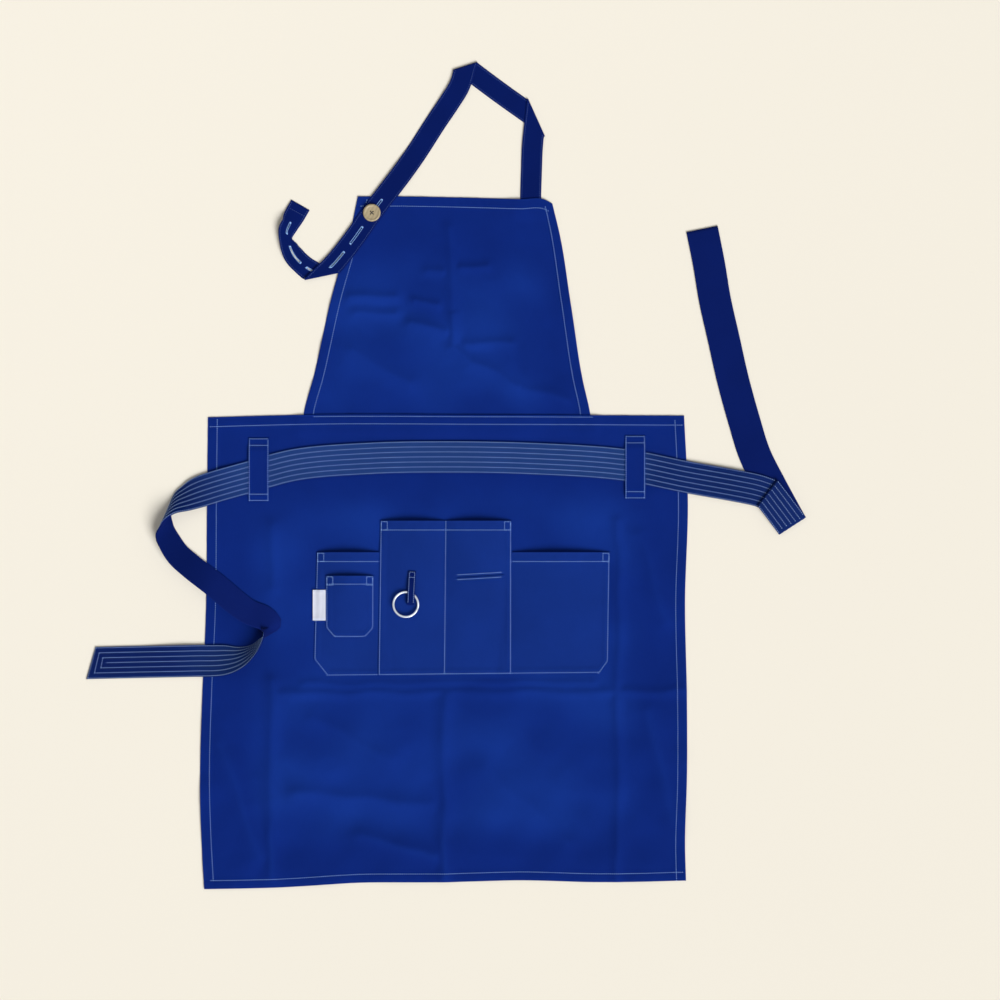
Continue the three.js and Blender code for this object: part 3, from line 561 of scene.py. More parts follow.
def grid_lines(low, high, span, step, marks):
    """Lines from edge to edge, each a share of the span and an offset, with hem lines at both edges."""
    inner = span - low[-1] - high[-1]
    shares = np.linspace(0, 1, max(2, round(inner / step)) + 1)[1:-1]
    marked = (np.array(marks, float) - low[-1]) / inner
    if len(marked):
        clear = np.abs(shares[:, None] - marked[None, :]).min(axis=1) * inner > step / 3
        shares = np.sort(np.concatenate([shares[clear], marked]))
    share = np.concatenate([np.zeros(len(low)), shares, np.ones(len(high))])
    offset = np.concatenate([low, low[-1] * (1 - shares) - high[-1] * shares, -high[::-1]])
    return share, offset


def by_edge(left, right, bottom, top):
    """Something for each edge of a panel."""
    return {"left": left, "right": right, "bottom": bottom, "top": top}


class Panel:
    """A cut piece of cloth between four edges, laid on what is under it.

    Each edge is a function of place, and has a hem width and the insets of its rows of stitches.
    """

    def __init__(self, sizes, edges, under, hems, ridges=None, worn_and_lit=None):
        self.sizes = sizes
        self.edges = edges
        self.under = under
        self.hems = hems
        self.ridges = ridges
        # Patches of painted light laid on the panel
        self.worn_and_lit = worn_and_lit

    def insets(self, x, y):
        """Distance in from each edge."""
        edges = self.edges
        return by_edge(
            x - edges["left"](y), edges["right"](y) - x, y - edges["bottom"](x), edges["top"](x) - y
        )

    def skin(self, x, y):
        """Height of the upper face: doubled cloth at the hems, drawn in at the stitches, puckered between."""
        doubled = np.zeros_like(x)
        groove = np.zeros_like(x)
        for edge, inset in self.insets(x, y).items():
            hem, stitches = self.hems[edge]
            if hem > 0:
                doubled = np.maximum(doubled, 1 - ease(inset, hem, hem + HEM_STEP))
            for row in stitches:
                groove = np.maximum(groove, np.exp(-(((inset - row) / GROOVE) ** 2)))
        pucker = PUCKER * doubled * ripple(x, y, 5, 0.008, 0.02)
        thick = self.sizes.canvas + self.sizes.hem_extra * doubled
        return self.under(x, y) + thick + pucker * (1 - groove) - GROOVE_DEPTH * groove

    def wear_and_light(self, x, y):
        """How much paler the cloth is drawn: rubbed pale with a painted highlight along its folded edges, a
        painted highlight on the crests of its creases, and painted light in the patches it is given.
        """
        nearest = np.minimum.reduce(list(self.insets(x, y).values()))
        lit_and_rubbed = 0.5 * np.exp(-np.maximum(nearest, 0) / 0.0015)
        if self.ridges is not None:
            # Painted highlight on the crests of the creases
            lit_and_rubbed = np.maximum(lit_and_rubbed, 0.35 * (ridge_height(self.ridges, x, y) / 0.0050) ** 3)
        if self.worn_and_lit is not None:
            lit_and_rubbed = np.maximum(lit_and_rubbed, self.worn_and_lit(x, y))
        return lit_and_rubbed

    def make(self, name, box, step, materials, marks=((), ()), hole=None, slope=0.0):
        """The panel as a closed cloth mesh over a grid of lines, with a narrow hole cut at a slope."""
        low_x, high_x, low_y, high_y = box
        hems = {edge: hem_insets(*self.hems[edge]) for edge in self.hems}
        marks_x = [mark - low_x for mark in marks[0]]
        marks_y = [mark - low_y for mark in marks[1]]
        share_x, off_x = grid_lines(hems["left"], hems["right"], high_x - low_x, step, marks_x)
        share_y, off_y = grid_lines(hems["bottom"], hems["top"], high_y - low_y, step, marks_y)
        flat_x = low_x + (high_x - low_x) * share_x + off_x
        flat_y = low_y + (high_y - low_y) * share_y + off_y
        left = self.edges["left"](flat_y)[:, None]
        right = self.edges["right"](flat_y)[:, None]
        x = left + (right - left) * share_x[None, :] + off_x[None, :]
        bottom = self.edges["bottom"](x)
        top = self.edges["top"](x)
        y = bottom + (top - bottom) * share_y[:, None] + off_y[:, None]
        kept = np.ones((len(flat_y) - 1, len(flat_x) - 1), bool)
        if hole:
            middle_x, middle_y = (hole["left"] + hole["right"]) / 2, (hole["bottom"] + hole["top"]) / 2
            reach = np.clip(x - middle_x, hole["left"] - middle_x, hole["right"] - middle_x)
            y = y + slope * reach * np.exp(-(((y - middle_y) / 0.025) ** 2))
            mid_x = (flat_x[:-1] + flat_x[1:]) / 2
            mid_y = (flat_y[:-1] + flat_y[1:]) / 2
            in_x = (mid_x > hole["left"]) & (mid_x < hole["right"])
            in_y = (mid_y > hole["bottom"]) & (mid_y < hole["top"])
            kept &= ~(in_y[:, None] & in_x[None, :])
        upper = np.stack([x, y, self.skin(x, y)], axis=-1)
        lower = np.stack([x, y, self.under(x, y)], axis=-1)
        flat = np.stack([x, y], axis=-1)
        return cloth_object(name, upper, lower, flat, self.wear_and_light(x, y), materials, kept)

    def line(self, edge, inset, start, end):
        """Points along an edge at an inset from it, between two places."""
        along = np.linspace(start, end, max(2, round(abs(end - start) / 0.001)))
        inwards = inset if edge in ("left", "bottom") else -inset
        beside = self.edges[edge](along) + inwards
        return (beside, along) if edge in ("left", "right") else (along, beside)

    def sewn(self, lines, pitch=None):
        """Runs of stitches over the panel along lines of x and y."""
        return [sewn_on(self.skin, x, y, self.sizes, pitch) for x, y in lines]


def sewn_on(skin, x, y, sizes, pitch=None):
    """A run of stitches along a line over a surface of known height."""
    step = 0.001
    slope_x = (skin(x + step, y) - skin(x - step, y)) / (2 * step)
    slope_y = (skin(x, y + step) - skin(x, y - step)) / (2 * step)
    normals = unit(np.stack([-slope_x, -slope_y, np.ones_like(x)], axis=1))
    points = np.stack([x, y, skin(x, y)], axis=1)
    share = sizes.stitch_length / sizes.stitch_pitch
    pitch = pitch or sizes.stitch_pitch
    return stitch_run(points, normals, pitch, pitch * share)


def straight(x1, y1, x2, y2):
    """Points along a straight line over the pattern."""
    count = max(2, round(math.hypot(x2 - x1, y2 - y1) / 0.001))
    return np.linspace(x1, x2, count), np.linspace(y1, y2, count)


def outlined(x1, y1, x2, y2):
    """The four sides of a box, for a sewn tack."""
    corners = [(x1, y1), (x2, y1), (x2, y2), (x1, y2), (x1, y1)]
    return [straight(*start, *end) for start, end in zip(corners, corners[1:])]


# Straps
FOLD_STEPS = 8


def lay_stretch(rows, spacing):
    """Stations along one stretch of strap: a smooth line through its table, with rest, roll and heading."""
    points = np.stack([rows["x"], rows["y"], 0 * rows["x"]], axis=1)
    padded = np.vstack([2 * points[0] - points[1], points, 2 * points[-1] - points[-2]])
    knots = np.linalg.norm(np.diff(padded, axis=0), axis=1) ** 0.5
    line = [points[:1]]
    place = [np.zeros(1)]
    for n in range(len(points) - 1):
        before, here, ahead, after = padded[n : n + 4]
        k0, k1, k2 = knots[n : n + 3]
        leave = (here - before) / k0 - (ahead - before) / (k0 + k1) + (ahead - here) / k1
        arrive = (ahead - here) / k1 - (after - here) / (k1 + k2) + (after - ahead) / k2
        count = max(1, round(np.linalg.norm(ahead - here) / spacing))
        t = np.arange(1, count + 1) / count
        line.append(hermite(here, ahead, leave * k1, arrive * k1, t[:, None]))
        place.append(n + t)
    line = np.vstack(line)
    flat = 0 * rows["x"]
    laid = {"row": np.arange(len(points)), "roll": flat, "skew": flat, "rise": flat + 1, **rows}
    place = np.concatenate(place)
    return {
        "points": line,
        "heading": unit(np.gradient(line, axis=0)),
        "rest": np.interp(place, laid["row"], laid["rest"]),
        "roll": np.radians(read(laid, "row", "roll", place)),
        "skew": read(laid, "row", "skew", place),
        "rise": read(laid, "row", "rise", place),
        "along": line_length(line),
    }


def fold_skew(incoming, outgoing, side):
    """Skew of the cross line that makes it lie along the fold between two headings."""
    line = incoming + outgoing
    straight_back = np.linalg.norm(line) < 1e-6
    return 0.0 if straight_back else np.dot(line, incoming) / np.dot(line, side)


def fold_stations(centre, half, heading, face, drop):
    """Stations round a flat fold, from one layer to the next, which lies lower by the drop."""
    line = unit(half)
    outward = unit(heading - line * np.dot(heading, line))
    angle = math.pi * np.arange(1, FOLD_STEPS)[:, None] / FOLD_STEPS
    radius = drop / 2
    centres = centre + abs(radius) * np.sin(angle) * outward + radius * (np.cos(angle) - 1) * UP
    normals = face * (np.cos(angle) * UP + np.sign(radius) * np.sin(angle) * outward)
    return centres, np.repeat(half[None], FOLD_STEPS - 1, axis=0), normals


def lay_strap(stretches, width, thickness, spacing, start_skew=0.0):
    """A strap through stretches joined by flat folds: its middle line, half width and front direction."""
    runs = [lay_stretch(rows, spacing) for rows in stretches]
    stations = []
    stretch = []
    face = 1.0
    skew_in = start_skew
    for n, run in enumerate(runs):
        heading = run["heading"]
        side = face * np.cross(UP, heading)
        easing = min(1.2 * width, run["along"][-1])
        left = run["along"][-1] - run["along"]
        skew_out = 0.0
        if n + 1 < len(runs):
            skew_out = fold_skew(heading[-1], runs[n + 1]["heading"][0], side[-1])
        skew = run["skew"] + skew_in * np.clip(1 - run["along"] / easing, 0, 1)
        skew = (skew + skew_out * np.clip(1 - left / easing, 0, 1))[:, None]
        roll, rise = run["roll"][:, None], run["rise"][:, None]
        lift = (width * rise * np.abs(np.sin(roll)) + thickness * np.abs(np.cos(roll))) / 2
        centre = run["points"] + UP * (run["rest"][:, None] + lift)
        half = (side * np.cos(roll) + face * UP * np.sin(roll) * rise + heading * skew) * width / 2
        stations.append((centre, half, np.cross(heading, half)))
        stretch.append(np.full(len(centre), n))
        if n + 1 < len(runs):
            drop = run["rest"][-1] - runs[n + 1]["rest"][0]
            stations.append(fold_stations(centre[-1], half[-1], heading[-1], face, drop))
            stretch.append(np.full(FOLD_STEPS - 1, -1))
        face = -face
        skew_in = skew_out
    centre, half, normal = (np.vstack(parts) for parts in zip(*stations))
    return {
        "centre": centre,
        "half": half,
        "normal": unit(normal),
        "along": line_length(centre),
        "stretch": np.concatenate(stretch),
        "width": width,
        "thickness": thickness,
    }


def strap_object(name, strap, across, materials, puff=0.0, worn_and_lit=0.0, kept=None):
    """The strap as a closed mesh. across runs from 1, its left edge, to -1, and puff swells its front.

    worn says how much paler its front is drawn at each station, as paleness and painted light, besides its
    edges.
    """
    middle = strap["centre"][:, None] + strap["half"][:, None] * across[None, :, None]
    normal = strap["normal"][:, None]
    half_thick = strap["thickness"] / 2
    swell = np.broadcast_to(half_thick + puff, middle.shape[:2])[..., None]
    flat_across = np.broadcast_to(across * strap["width"] / 2, middle.shape[:2])
    flat_along = np.broadcast_to(strap["along"][:, None], middle.shape[:2])
    inset = (1 - np.abs(across)) * strap["width"] / 2
    # Paler along the edges: rubbed wear with a painted highlight
    wear_and_light = np.maximum(np.broadcast_to(0.5 * np.exp(-inset / 0.0015), middle.shape[:2]), worn_and_lit)
    grain = np.stack([flat_across, flat_along], axis=-1)
    front, back = middle + normal * swell, middle - normal * half_thick
    return cloth_object(name, front, back, grain, wear_and_light, materials, kept)


def on_strap(strap, along, offset, side=1):
    """Points on a strap's face at distances along it and across it, and the way that face looks."""
    offset = np.broadcast_to(offset, along.shape)[:, None]
    normal = side * at_places(strap["along"], strap["normal"], along)
    half = at_places(strap["along"], strap["half"], along)
    centre = at_places(strap["along"], strap["centre"], along)
    return centre + half * offset / (strap["width"] / 2) + normal * strap["thickness"] / 2, normal


def strap_row(strap, offset, start, end, gauge, side=1):
    """A row of stitches along a strap, at an offset from its middle. gauge is their spacing and length."""
    along = np.linspace(start, end, max(2, round((end - start) / 0.001)))
    points, normals = on_strap(strap, along, offset, side)
    return stitch_run(points, normals, *gauge)


def cross_row(strap, along, start, end, gauge, side=1):
    """A row of stitches across a strap."""
    offset = np.linspace(start, end, max(2, round(abs(end - start) / 0.0005)))
    points, normals = on_strap(strap, along + 0 * offset, offset, side)
    return stitch_run(points, normals, *gauge)


def stretch_ends(strap, n):
    """Where one stretch of a strap starts and ends, along it."""
    along = strap["along"][strap["stretch"] == n]
    return along[0], along[-1]


# Finishes
def srgb(red, green, blue):
    """A colour as a screen shows it, 0 to 255, in the linear values that shaders use."""
    shown = np.array([red, green, blue]) / 255
    linear = np.where(shown <= 0.04045, shown / 12.92, ((shown + 0.055) / 1.055) ** 2.4)
    return tuple(float(value) for value in linear)


def add_node(tree, kind, inputs=None, **settings):
    """A shader node with its settings, and inputs that are linked or set by name."""
    node = tree.nodes.new(kind)
    for key, value in settings.items():
        setattr(node, key, value)
    for key, value in (inputs or {}).items():
        if isinstance(value, bpy.types.NodeSocket):
            tree.links.new(value, node.inputs[key])
        else:
            node.inputs[key].default_value = value
    return node


def noise(tree, place, scale, detail):
    """Cloudy random values over a place."""
    node = add_node(tree, "ShaderNodeTexNoise", {"Vector": place, "Scale": scale, "Detail": detail})
    return node.outputs[0]


def place_in_object(tree):
    """The place of a point in its own object."""
    return add_node(tree, "ShaderNodeTexCoord").outputs["Object"]


def scaled(tree, value, factor, plus=0.0):
    """A value times a factor, plus a number or another value."""
    node = add_node(tree, "ShaderNodeMath", {0: value, 1: factor, 2: plus}, operation="MULTIPLY_ADD")
    return node.outputs[0]


def tinted(tree, factor, low, high):
    """A colour between two, mixed by a value."""
    node = add_node(tree, "ShaderNodeMix", {0: factor, 6: (*low, 1), 7: (*high, 1)}, data_type="RGBA")
    return node.outputs[2]


def new_finish(name, roughness, **constants):
    """A material, its node tree and its shader, with the values that are the same all over."""
    material = bpy.data.materials.new(name)
    material.use_nodes = True
    tree = material.node_tree
    shader = tree.nodes["Principled BSDF"]
    shader.inputs["Roughness"].default_value = roughness
    for key, value in constants.items():
        shader.inputs[key.replace("_", " ")].default_value = value
    return material, tree, shader


def paint(tree, shader, colour, height, depth, strength):
    """Colour and raised detail on a shader."""
    bump = add_node(tree, "ShaderNodeBump", {"Height": height, "Distance": depth, "Strength": strength})
    tree.links.new(colour, shader.inputs["Base Color"])
    tree.links.new(bump.outputs["Normal"], shader.inputs["Normal"])


def woven(name, colour, pitch, pale=None):
    """Woven canvas: warp and weft threads, slubs, uneven dye, and a paler colour where it is rubbed and where
    painted highlight and painted light are laid on.
    """
    material, tree, shader = new_finish(name, 0.9, Sheen_Weight=0.03, Sheen_Roughness=0.45)
    shader.inputs["Specular IOR Level"].default_value = 0.05
    shader.inputs["Sheen Tint"].default_value = (*(0.5 + 0.5 * np.array(colour) / max(colour)), 1)
    flat = add_node(tree, "ShaderNodeUVMap", uv_map="cloth").outputs[0]
    wave = math.tau / 20 / pitch
    threads = {"Vector": flat, "Scale": wave, "Distortion": 0.8, "Detail": 1.0, "Detail Scale": 0.6}
    warp = add_node(tree, "ShaderNodeTexWave", threads, bands_direction="X").outputs["Fac"]
    weft = add_node(tree, "ShaderNodeTexWave", threads, bands_direction="Y").outputs["Fac"]
    stretched = add_node(tree, "ShaderNodeMapping", {"Vector": flat, "Scale": (1200, 70, 1)}).outputs[0]
    slub = noise(tree, stretched, 1.0, 3.0)
    dye = noise(tree, flat, 11.0, 4.0)
    # This attribute mixes in the paler colour: rubbed wear, painted highlight and painted light
    lit_and_rubbed = add_node(tree, "ShaderNodeAttribute", attribute_name="wear_and_light").outputs["Fac"]
    uneven = scaled(tree, dye, 1.3, -0.15)
    uneven = scaled(tree, slub, 0.5, scaled(tree, uneven, 1.0, -0.25))
    base = np.array(colour)
    worn_and_lit = base * 1.4 + 0.002 if pale is None else np.array(pale)
    dyed = tinted(tree, uneven, base * 0.86, base * 1.14)
    worn_and_lit_tone = tinted(tree, uneven, worn_and_lit * 0.86, worn_and_lit * 1.14)
    tone = add_node(tree, "ShaderNodeMix", {0: lit_and_rubbed, 6: dyed, 7: worn_and_lit_tone}, data_type="RGBA").outputs[2]
    height = scaled(tree, slub, 0.5, scaled(tree, warp, 0.5, scaled(tree, weft, 0.5)))
    paint(tree, shader, tone, height, 0.0003, 0.35)
    return material


def spun_thread(name, colour):
    """Sewing thread: twisted strands, a little uneven in tone."""
    material, tree, shader = new_finish(name, 0.6, Sheen_Weight=0.1)
    place = place_in_object(tree)
    twist = {"Vector": place, "Scale": 700.0, "Distortion": 1.5}
    strands = add_node(tree, "ShaderNodeTexWave", twist, bands_direction="DIAGONAL").outputs["Fac"]
    uneven = noise(tree, place, 90.0, 2.0)
    base = np.array(colour)
    paint(tree, shader, tinted(tree, uneven, base * 0.8, base * 1.1), strands, 0.0001, 0.4)
    return material


def turned_wood(name, colour):
    """Pale wood: year rings, fine grain and a satin surface."""
    material, tree, shader = new_finish(name, 0.5, Coat_Weight=0.08, Coat_Roughness=0.35)
    place = place_in_object(tree)
    slanted = add_node(tree, "ShaderNodeMapping", {"Vector": place, "Rotation": (0, 0, 0.6)}).outputs[0]
    rings = {"Vector": slanted, "Scale": 60.0, "Distortion": 5.0, "Detail": 3.0, "Detail Scale": 0.8}
    years = add_node(tree, "ShaderNodeTexWave", rings).outputs["Fac"]
    drawn = add_node(tree, "ShaderNodeMapping", {"Vector": slanted, "Scale": (2600, 240, 240)}).outputs[0]
    grain = noise(tree, drawn, 1.0, 3.0)
    base = np.array(colour)
    shade = scaled(tree, grain, 0.6, scaled(tree, years, 0.35))
    paint(tree, shader, tinted(tree, shade, base * 0.72, base * 1.2), grain, 0.0002, 0.3)
    return material


def plated_steel(name, colour):
    """Bright plated wire with fine rubbing marks."""
    material, tree, shader = new_finish(name, 0.3, Metallic=0.4)
    place = place_in_object(tree)
    marks = noise(tree, place, 900.0, 4.0)
    base = np.array(colour)
    tree.links.new(scaled(tree, marks, 0.2, 0.2), shader.inputs["Roughness"])
    paint(tree, shader, tinted(tree, marks, base * 0.9, base), marks, 0.00005, 0.2)
    return material


def plain_floor(name, colour):
    """Smooth pale floor, very slightly mottled."""
    material, tree, shader = new_finish(name, 0.75)
    place = place_in_object(tree)
    mottle = noise(tree, place, 1.5, 3.0)
    base = np.array(colour)
    paint(tree, shader, tinted(tree, mottle, base * 0.985, base), mottle, 0.001, 0.05)
    return material


def finish(name, make, *details):
    """The named material, made once and shared by the pieces that have it."""
    return bpy.data.materials.get(name) or make(name, *details)


# Settings
def length(name, description, default):
    """A size that a user can change, in metres."""
    return bpy.props.FloatProperty(
        name=name, description=description, default=default, min=0.0, precision=5, unit="LENGTH"
    )


def colour(name, description, default):
    """A colour that a user can change."""
    return bpy.props.FloatVectorProperty(
        name=name, description=description, default=default, min=0.0, max=1.0, size=3, subtype="COLOR"
    )


def node_size(node):
    """Width, depth and height of a node of the frame."""
    low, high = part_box(node)
    return high - low


class ApronSizes(bpy.types.PropertyGroup):
    """Sizes of the cloth, straps, stitches and trims"""

    canvas: length("Canvas", "Thickness of one layer of canvas", 0.0010)
    hem_extra: length("Hem", "Thickness that a folded hem adds", 0.0006)
    weave: length("Weave", "Spacing of the canvas threads", 0.0011)
    stitch_pitch: length("Stitch spacing", "From the start of one stitch to the next", 0.0034)
    stitch_length: length("Stitch length", "Length of one stitch", 0.0019)
    thread: length("Thread", "Thickness of the sewing thread", 0.0014)
    belt_width: length("Belt width", "Width of the waist belt", 0.051)
    belt_thickness: length("Belt thickness", "Thickness of the waist belt", 0.0024)
    neck_width: length("Neck strap width", "Width of the neck strap", 0.0335)
    neck_thickness: length("Neck strap thickness", "Thickness of the neck strap", 0.0016)
    loop_width: length("Belt loop width", "Width of the belt loops", node_size("belt_loop_left").x)
    loop_thickness: length("Belt loop thickness", "Thickness of the belt loops", 0.0012)
    key_loop_width: length("Key loop width", "Width of the tape that holds the ring", 0.012)
    key_loop_thickness: length("Key loop thickness", "Thickness of that tape", 0.0009)
    button: length("Button", "Diameter of the button", node_size("neck_button").x)
    ring: length("Ring", "Outer diameter of the key ring", node_size("key_ring").x)
    ring_wire: length("Ring wire", "Thickness of the ring's two turns together", node_size("key_ring").z)


class ApronColours(bpy.types.PropertyGroup):
    """Colours of the cloth, thread and trims"""

    canvas: colour("Canvas", "Bib, skirt and belt loops", srgb(10, 38, 119))
    # Paler canvas for rubbed edges, the painted highlight on edges and crests, and the patches of painted
    # light
    canvas_worn_and_lit: colour("Worn canvas", "Bib and skirt where they are rubbed pale", srgb(17, 51, 139))
    pocket: colour("Pockets", "Pocket canvas", srgb(17, 47, 128))
    strap: colour("Straps", "Neck strap and the belt's back", srgb(5, 25, 92))
    belt: colour("Belt front", "Belt's stitched front", srgb(11, 31, 92))
    # Paler belt front: along the waist and the lower band at the left, and rubbed with a painted highlight at
    # its edges
    belt_worn_and_lit: colour("Worn belt", "Belt's front where it is rubbed pale", srgb(32, 60, 122))
    thread: colour("Stitching", "Pale sewing thread", srgb(150, 196, 255))
    belt_thread: colour("Belt stitching", "Thread of the belt's rows", srgb(150, 184, 238))
    strap_thread: colour("Strap stitching", "Thread along the neck strap's edges", srgb(84, 112, 176))
    button_thread: colour("Button thread", "Dark thread through the button", srgb(27, 34, 54))
    wood: colour("Button", "Button wood", srgb(175, 159, 126))
    steel: colour("Ring", "Plated steel", srgb(236, 244, 255))
    label: colour("Label", "Blank woven label", srgb(217, 221, 236))
    floor: colour("Floor", "Floor under the apron", srgb(246, 240, 226))


class ApronStage(bpy.types.PropertyGroup):
    """Camera and light"""

    view: length("View", "Width of floor that the picture shows", 1.594)
    camera_height: length("Camera height", "Camera's height over the floor", 7.0)
    key: bpy.props.FloatProperty(
        name="Key light", description="Strength of the broad light from the hem's side", default=3.15, min=0.0
    )
    fill: bpy.props.FloatProperty(
        name="Fill light", description="Power of the soft light beyond the bib", default=12.0, unit="POWER"
    )
    ambient: bpy.props.FloatProperty(
        name="Ambient", description="Strength of the even light from all round", default=0.25, min=0.0
    )


# Pattern pieces
def skirt_under(x, y):
    """Height of the skirt's underside: over the tucked bib, in creases, and a little loose lower down."""
    over_bib = ON_CLOTH * plateau(x, y, -0.234, 0.234, -BIB_TUCK - 0.003, 0.010, 0.016)
    loose = 0.00012 + 0.0013 * ease(-y, 0.42, 0.56)
    return np.maximum(over_bib, ridge_height(SKIRT_RIDGES, x, y)) + loose * (1 + ripple(x, y, 3, 0.05, 0.16))


def bib_under(x, y):
    """Height of the bib's underside: over the sewn end of the neck strap, and in creases."""
    over_strap = 0.0019 * plateau(x, y, 0.113, 0.153, 0.327, 0.360, 0.020)
    loose = 0.0012 * ease(y, 0.01, 0.06) * (1 - 0.7 * ease(y, 0.18, 0.26))
    return np.maximum(over_strap, ridge_height(BIB_RIDGES, x, y)) + loose * (1 + ripple(x, y, 4, 0.04, 0.13))


def skirt_painted_light(x, y):
    """Painted light: how much paler the skirt is drawn, in soft patches, most of all between its side folds.
    """
    middle = plateau(x, y, -0.265, 0.260, -0.630, -0.170, 0.070)
    return np.clip(middle * (0.55 + 0.3 * ripple(x, y, 31, 0.10, 0.35)), 0, 1)


def bib_painted_light(x, y):
    """Painted light: how much paler the bib is drawn, in soft patches, most of all in its lower half."""
    middle = plateau(x, y, -0.150, 0.100, 0.050, 0.190, 0.090)
    return np.clip(middle * (0.55 + 0.3 * ripple(x, y, 32, 0.08, 0.25)), 0, 1)


def gape(x, y, left, right, pocket, bulge):
    """How far a pocket stands off what it is sewn to: nothing at its seams, most at its mouth."""
    across = np.clip((x - left) / (right - left), 0, 1)
    up = np.clip((y - pocket["base"]) / (pocket["mouth"] - pocket["base"]), 0, 1)
    return bulge * np.sin(math.pi * across) ** 0.8 * np.sin(math.pi / 2 * up) ** 1.2


def leaned(pocket, side, y):
    """Place of a pocket's side edge at a height."""
    return pocket[side] + pocket["lean_" + side] * (y - pocket["mouth"])


def pocket_edges(pocket):
    """Straight edges of a pocket, with cut-off lower corners where it has them."""
    wide, tall = pocket["cut"]

    def corner(side, y):
        return (side in pocket["sewn"]) * wide * np.clip(1 - (y - pocket["base"]) / tall, 0, 1)

    return by_edge(
        lambda y: leaned(pocket, "left", y) + corner("left", y),
        lambda y: leaned(pocket, "right", y) - corner("right", y),
        lambda x: pocket["base"] + pocket["tilt"] * x,
        lambda x: pocket["mouth"] + 0 * x,
    )


# Hems: their width, and the insets of their rows of stitches
EDGE_ROW = 0.0018
SIDE_ROW = 0.0150
BOTTOM_ROW = 0.0135
WAIST_ROWS = (0.0032, 0.0152)
BIB_ROW = 0.0155
LABEL_ROW = 0.0015
TURNED = (0.008, (EDGE_ROW,))
HIDDEN_EDGE = (0.0, ())
SIDE_HEM = (0.016, (SIDE_ROW,))
BOTTOM_HEM = (0.0145, (BOTTOM_ROW,))
WAIST_HEM = (0.016, WAIST_ROWS)
BIB_HEM = (0.0165, (BIB_ROW,))
LABEL_HEM = (0.004, (LABEL_ROW,))


def pocket_panel(sizes, pocket, under):
    """A pocket's panel, turned in along its base and the sides that are sewn in sight."""
    left, right = (TURNED if side in pocket["sewn"] else HIDDEN_EDGE for side in ("left", "right"))
    mouth = (pocket["mouth_hem"], (pocket["mouth_row"],))
    hems = by_edge(left, right, TURNED, mouth)
    return Panel(sizes, pocket_edges(pocket), under, hems)


def cut_panels(sizes):
    """Every flat panel of the apron, each laid on the one under it."""
    half = SKIRT_WIDTH / 2
    skirt_edges = by_edge(
        lambda y: -half - read(SKIRT_SIDES, "y", "left", y),
        lambda y: half + read(SKIRT_SIDES, "y", "right", y),
        lambda x: -SKIRT_LENGTH - read(SKIRT_HEM, "x", "drop", x),
        lambda x: read(WAIST_EDGE, "x", "rise", x),
    )
    skirt_hems = by_edge(SIDE_HEM, SIDE_HEM, BOTTOM_HEM, WAIST_HEM)
    skirt = Panel(sizes, skirt_edges, skirt_under, skirt_hems, SKIRT_RIDGES, skirt_painted_light)
    bib_edges = by_edge(
        lambda y: read(BIB_SIDES, "y", "left", y),
        lambda y: read(BIB_SIDES, "y", "right", y),
        lambda x: -BIB_TUCK + 0 * x,
        lambda x: BIB_HEIGHT + read(BIB_TOP, "x", "rise", x),
    )
    bib_hems = by_edge(BIB_HEM, BIB_HEM, HIDDEN_EDGE, BIB_HEM)
    bib = Panel(sizes, bib_edges, bib_under, bib_hems, BIB_RIDGES, bib_painted_light)

    def side_under(pocket):
        def under(x, y):
            left, right = leaned(pocket, "left", y), leaned(pocket, "right", y)
            return skirt.skin(x, y) + GAP + gape(x, y, left, right, pocket, POCKET_BULGE)

        return under

    def centre_under(x, y):
        left, right = leaned(CENTRE_POCKET, "left", y), CENTRE_POCKET["right"]
        gape_left = gape(x, y, left, CENTRE_SEAM, CENTRE_POCKET, POCKET_BULGE)
        gape_right = gape(x, y, CENTRE_SEAM, right, CENTRE_POCKET, POCKET_BULGE)
        inside = np.minimum(x - left, right - x)
        over_tuck = ON_CLOTH * (1 - ease(inside, POCKET_TUCK + 0.002, POCKET_TUCK + 0.016))
        beside_mouth = 1 - ease(y, SIDE_LEFT["mouth"] + 0.004, SIDE_LEFT["mouth"] + 0.024)
        raised = np.maximum(np.where(x < CENTRE_SEAM, gape_left, gape_right), over_tuck * beside_mouth)
        return skirt.skin(x, y) + GAP + raised

    side_left = pocket_panel(sizes, TUCKED_LEFT, side_under(SIDE_LEFT))

    def patch_under(x, y):
        return side_left.skin(x, y) + GAP + gape(x, y, PATCH["left"], PATCH["right"], PATCH, PATCH_BULGE)

    def label_under(x, y):
        return side_left.skin(np.maximum(x, leaned(SIDE_LEFT, "left", y)), y) + GAP

    label_hems = by_edge(HIDDEN_EDGE, HIDDEN_EDGE, LABEL_HEM, LABEL_HEM)
    return {
        "skirt": skirt,
        "bib": bib,
        "side_pocket_left": side_left,
        "side_pocket_right": pocket_panel(sizes, TUCKED_RIGHT, side_under(SIDE_RIGHT)),
        "centre_pocket": pocket_panel(sizes, CENTRE_POCKET, centre_under),
        "patch_pocket": pocket_panel(sizes, PATCH, patch_under),
        "label_tag": Panel(sizes, pocket_edges(LABEL), label_under, label_hems),
    }


